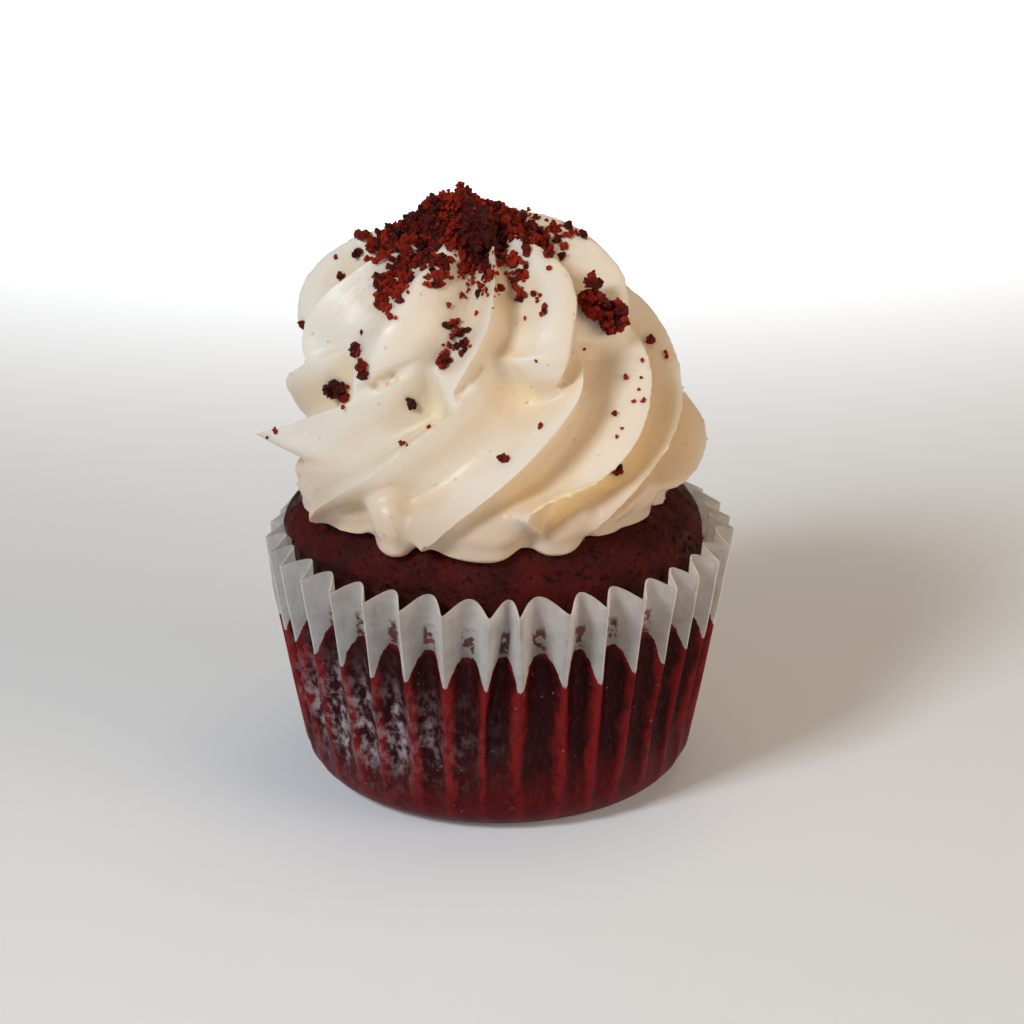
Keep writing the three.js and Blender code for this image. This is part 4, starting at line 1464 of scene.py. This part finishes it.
@dataclass
class Crumbs:
    """The heap of crumbs on the summit, the clump, and the crumbs scattered over the cream."""

    cream: BVHTree
    maker: CrumbMaker
    studio: "Studio"
    view_step: float = 1 / 7.25
    focus: Place = (-4.6, 0.0, 60.0)
    heap_centre: Pair = (-0.3, -0.5)
    heap_foot: float = 70.0
    heap_lean: float = -0.46
    heap_across: Pair = (1.0, 0.8)
    heap_outline: Outline = ((0, 82.2), (2.4, 81.8), (5.0, 80.4), (8.0, 78.3), (10.4, 75.4), (9, 71), (0, 71))
    heap_columns: int = 96
    heap_rings: int = 70
    heap_crumbs: int = 560
    heap_spread: float = 11.6
    heap_brim: float = 75.4
    clump_centre: Place = (14.2, -8.6, 68.6)
    clump_lumps: tuple[tuple[Place, float], ...] = (
        ((-1.9, 0.3, 3.4), 1.0),
        ((-2.3, 0.2, 1.4), 1.2),
        ((-0.9, 0.0, 0.3), 2.0),
        ((1.1, -0.4, -1.0), 2.2),
    )
    behind: tuple[tuple[float, float, float, int, float], ...] = (
        (150, 30, 14, 22, 0.55),
        (215, 28, 14, 22, 0.55),
        (180, 48, 16, 24, 0.6),
    )
    finish: CrumbFinish = field(default_factory=CrumbFinish)

    def strew(self, groups: Sequence[Strewn], rng: random.Random, *more: BVHTree) -> list[Crumb]:
        """Lay crumbs where the front view shows them.

        Args:
            groups: Where they lie.
            rng: The source of unevenness.
            more: Other surfaces than the cream that they can lie on.

        Returns:
            The crumbs.
        """
        places = []
        for group in groups:
            for _ in range(group.count):
                across = group.across + rng.gauss(0, group.spread[0] / 2)
                up = group.up + rng.gauss(0, group.spread[1] / 2)
                eye, sight, spot = self.studio.sight(across * self.view_step, up * self.view_step)
                hits = [tree.ray_cast(eye, sight) for tree in (self.cream, *more)]
                hits = [hit for hit in hits if hit[0]] or [self.cream.find_nearest(spot)]
                at, normal = min(hits, key=lambda hit: (hit[0] - eye).length)[:2]
                sizes = (0.85, 1.1) if group.count < 3 else (0.35, 1.15)
                radius = group.radius * rng.uniform(*sizes)
                places.append((at / MM + normal * radius * 0.45, radius, self.tone(radius, rng)))
        return places

    def tone(self, radius: float, rng: random.Random) -> float:
        """Choose a crumb's tone: small ones are dry and bright, large ones moist and dark."""
        if radius > 1.15:
            return rng.uniform(0.0, 0.15)
        if radius < 0.5:
            return rng.uniform(0.5, 1.25)
        return rng.uniform(0.0, 0.12) if rng.random() < 0.4 else rng.uniform(0.3, 0.9)

    def cream_point(self, azimuth: float, elevation: float) -> Vector | None:
        """Find the cream's surface in a direction from the focus.

        Args:
            azimuth: Degrees from the front.
            elevation: Degrees above the level.

        Returns:
            The point in millimetres, or nothing.
        """
        angle, up = azimuth_angle(azimuth), math.radians(elevation)
        outwards = Vector((math.cos(angle) * math.cos(up), math.sin(angle) * math.cos(up), math.sin(up)))
        start = (Vector(self.focus) + outwards * 60) * MM
        hit = self.cream.ray_cast(start, -outwards)[0]
        return hit / MM if hit else None

    def heap_core(self) -> Piece:
        """Model the heap's core: a leaning, uneven mound."""
        piece, share, angle = add_ball("heap_core", self.heap_columns, self.heap_rings)
        path = np.array(self.heap_outline, dtype=float)
        walked = lengths_along(path)
        radius, height = (np.interp(share * walked[-1], walked, column) for column in path.T)
        lean = self.heap_lean * (height - self.heap_foot)
        x = self.heap_centre[0] + lean + radius * self.heap_across[0] * np.cos(angle)
        y = self.heap_centre[1] + radius * self.heap_across[1] * np.sin(angle)
        moved = np.stack([x, y, height], axis=1)
        rough = noise_at(moved, 2.6, 1) * 0.9 + noise_at(moved, 1.1, 2) * 0.4 - cells_at(moved, 0.9, 3) * 0.9
        up = share * math.pi
        out = np.stack([np.cos(angle) * np.sin(up), np.sin(angle) * np.sin(up), np.cos(up)], axis=1)
        write_points(piece, (moved + out * rough[:, None]) * MM)
        write_attribute(piece, "tone", np.full(len(x), 0.12))
        return piece

    def heap(self) -> None:
        """Model the heap: a core with crumbs all over it, thinning out onto the cream."""
        rng = random.Random(5)
        core = self.heap_core()
        mound = surface_of(core)
        places = []
        for i in range(self.heap_crumbs):
            out = self.heap_spread * math.sqrt((i + 0.5) / self.heap_crumbs) * rng.uniform(0.93, 1.1)
            angle = i * GOLDEN_ANGLE
            height = self.heap_brim + 5 * (1 - out / self.heap_spread)
            lean = self.heap_lean * (height - self.heap_foot)
            x = self.heap_centre[0] + lean + out * self.heap_across[0] * math.cos(angle)
            y = self.heap_centre[1] + out * self.heap_across[1] * math.sin(angle)
            start = Vector((x, y, 200)) * MM
            hits = [tree.ray_cast(start, Vector((0, 0, -1)))[0] for tree in (mound, self.cream)]
            hits = [hit for hit in hits if hit]
            if not hits:
                continue
            at = max(hits, key=lambda hit: hit.z) / MM
            radius = 0.28 + 0.85 * rng.random() ** 2
            places.append((at + Vector((0, 0, rng.uniform(-0.2, 0.6))), radius, self.tone(radius, rng)))
        places += self.strew(TRAILS, rng, mound)
        piece = join("crumb_heap_pile", core, self.maker.pour("heap_grains", places))
        dress(piece, self.finish.material(), "red_crumbs", "crumb_heap")

    def clump(self) -> None:
        """Model the broken clump that leans on the cream at the right."""
        rng = random.Random(8)
        lumps = [(Vector(self.clump_centre) + Vector(at), radius) for at, radius in self.clump_lumps]
        places = [(centre, radius * 0.9, 0.1) for centre, radius in lumps]
        for centre, radius in lumps:
            for _ in range(int(26 * radius)):
                out = Vector([rng.gauss(0, 1) for _ in range(3)]).normalized()
                small = rng.uniform(0.25, 0.8)
                places.append((centre + out * radius * 0.85, small, rng.uniform(0.0, 0.9)))
        piece = self.maker.pour("crumb_clump_lump", places)
        dress(piece, self.finish.material(), "red_crumbs", "crumb_clump")

    def scattered(self) -> None:
        """Scatter loose crumbs over the cream."""
        rng = random.Random(21)
        places = self.strew(LOOSE, rng)
        for *way, spread, count, radius in self.behind:
            for _ in range(count):
                at = self.cream_point(*(degrees + rng.gauss(0, spread / 2) for degrees in way))
                if not at:
                    continue
                size = radius * rng.uniform(0.5, 1.2)
                outwards = (at - Vector(self.focus)).normalized()
                places.append((at + outwards * size * 0.4, size, self.tone(size, rng)))
        piece = self.maker.pour("crumbs_scattered", places)
        dress(piece, self.finish.material(), "red_crumbs")


# ---- The studio --------------------------------------------------------------------------------


@dataclass
class Studio:
    """A pale floor, soft light and the camera."""

    target: Place = (1.93 * MM, 0.0, 36.6 * MM)
    distance: float = 0.45
    elevation: float = math.radians(20.75)
    lens: float = 114.7
    sensor: float = 36.0

    def build(self) -> None:
        """Set up the camera, the lights, the world and the floor."""
        bpy.context.scene.view_settings.view_transform = "Standard"
        self.camera()
        self.light("key", (-0.36, -0.42, 0.46), 0.16, 2.65, (0.92, 0.965, 1.0))
        self.light("top", (0.10, 0.10, 0.62), 0.36, 0.6, (1.0, 0.74, 0.46))
        self.light("warm_fill", (0.50, -0.28, 0.22), 0.36, 1.25, (1.0, 0.75, 0.51))
        self.light("backdrop", (0.0, 0.48, 0.60), 0.30, 1.3, (1.0, 0.99, 0.97), (0.0, 0.48, 0.0), 55)
        self.world((1.0, 0.82, 0.62), 0.09)
        self.floor()

    def sight(self, across: float, up: float) -> tuple[Vector, Vector, Vector]:
        """Look from the camera at a spot of the view.

        Args:
            across: Millimetres to the right of the view's centre, at the target's distance.
            up: Millimetres above it.

        Returns:
            The camera's place, the direction of sight, and the spot.
        """
        eye = self.eye()
        upwards = Vector((0, math.sin(self.elevation), math.cos(self.elevation)))
        spot = Vector(self.target) + (Vector((across, 0, 0)) + upwards * up) * MM
        return eye, (spot - eye).normalized(), spot

    def eye(self) -> Vector:
        """Find the camera's place."""
        back = Vector((0, -math.cos(self.elevation), math.sin(self.elevation)))
        return Vector(self.target) + back * self.distance

    def camera(self) -> None:
        """Place the camera on its target."""
        data = bpy.data.cameras.new("camera")
        data.lens = self.lens
        data.sensor_width = self.sensor
        data.clip_start = 0.01
        camera = bpy.data.objects.new("camera", data)
        camera.location = self.eye()
        camera.rotation_euler = (math.pi / 2 - self.elevation, 0, 0)
        bpy.context.scene.collection.objects.link(camera)
        bpy.context.scene.camera = camera

    def light(self, name: str, place: Place, size: float, power: float, colour: Colour,
              towards: Place | None = None, spread: float = 180) -> None:
        """Add a soft light.

        Args:
            name: Its name.
            place: Where it stands.
            size: Its side.
            power: Its power in watts.
            colour: Its colour.
            towards: What it faces, if that isn't the target.
            spread: The width of its beam in degrees.
        """
        data = bpy.data.lights.new(name, "AREA")
        data.size = size
        data.energy = power
        data.color = colour
        data.spread = math.radians(spread)
        lamp = bpy.data.objects.new(name, data)
        lamp.location = place
        aim = Vector(towards or self.target) - Vector(place)
        lamp.rotation_euler = aim.to_track_quat("-Z", "Y").to_euler()
        bpy.context.scene.collection.objects.link(lamp)

    def world(self, colour: Colour, strength: float) -> None:
        """Light the scene from all round with a colour at a strength."""
        world = bpy.data.worlds.new("studio")
        bpy.context.scene.world = world
        world.use_nodes = True
        background = world.node_tree.nodes["Background"]
        background.inputs["Color"].default_value = (*colour, 1)
        background.inputs["Strength"].default_value = strength

    def floor(self) -> None:
        """Lay the floor under the cupcake."""
        deselect_all()
        bpy.ops.mesh.primitive_plane_add(size=6)
        floor = take("studio_floor")
        nodes = Nodes("floor_matte")
        nodes.set(Base_Color=nodes.coat((0.85, 0.90, 0.97), (nodes.noise(20 * MM, 2), (0.86, 0.91, 0.98))))
        nodes.set(Roughness=0.9, Specular_IOR_Level=0.1)
        nodes.set(Emission_Color=(0.93, 0.96, 1, 1), Emission_Strength=0.10)
        floor.data.materials.append(nodes.material)


def main() -> None:
    """Build the cupcake and its studio."""
    logging.basicConfig(level=logging.INFO, format="%(name)s: %(message)s")
    studio = Studio()
    studio.build()
    PaperCase().build()
    sponge = Sponge()
    sponge.build()
    swirl = Frosting(sponge).build()
    crumbs = Crumbs(surface_of(swirl), CrumbMaker(), studio)
    crumbs.heap()
    crumbs.clump()
    crumbs.scattered()


if __name__ == "__main__":
    main()
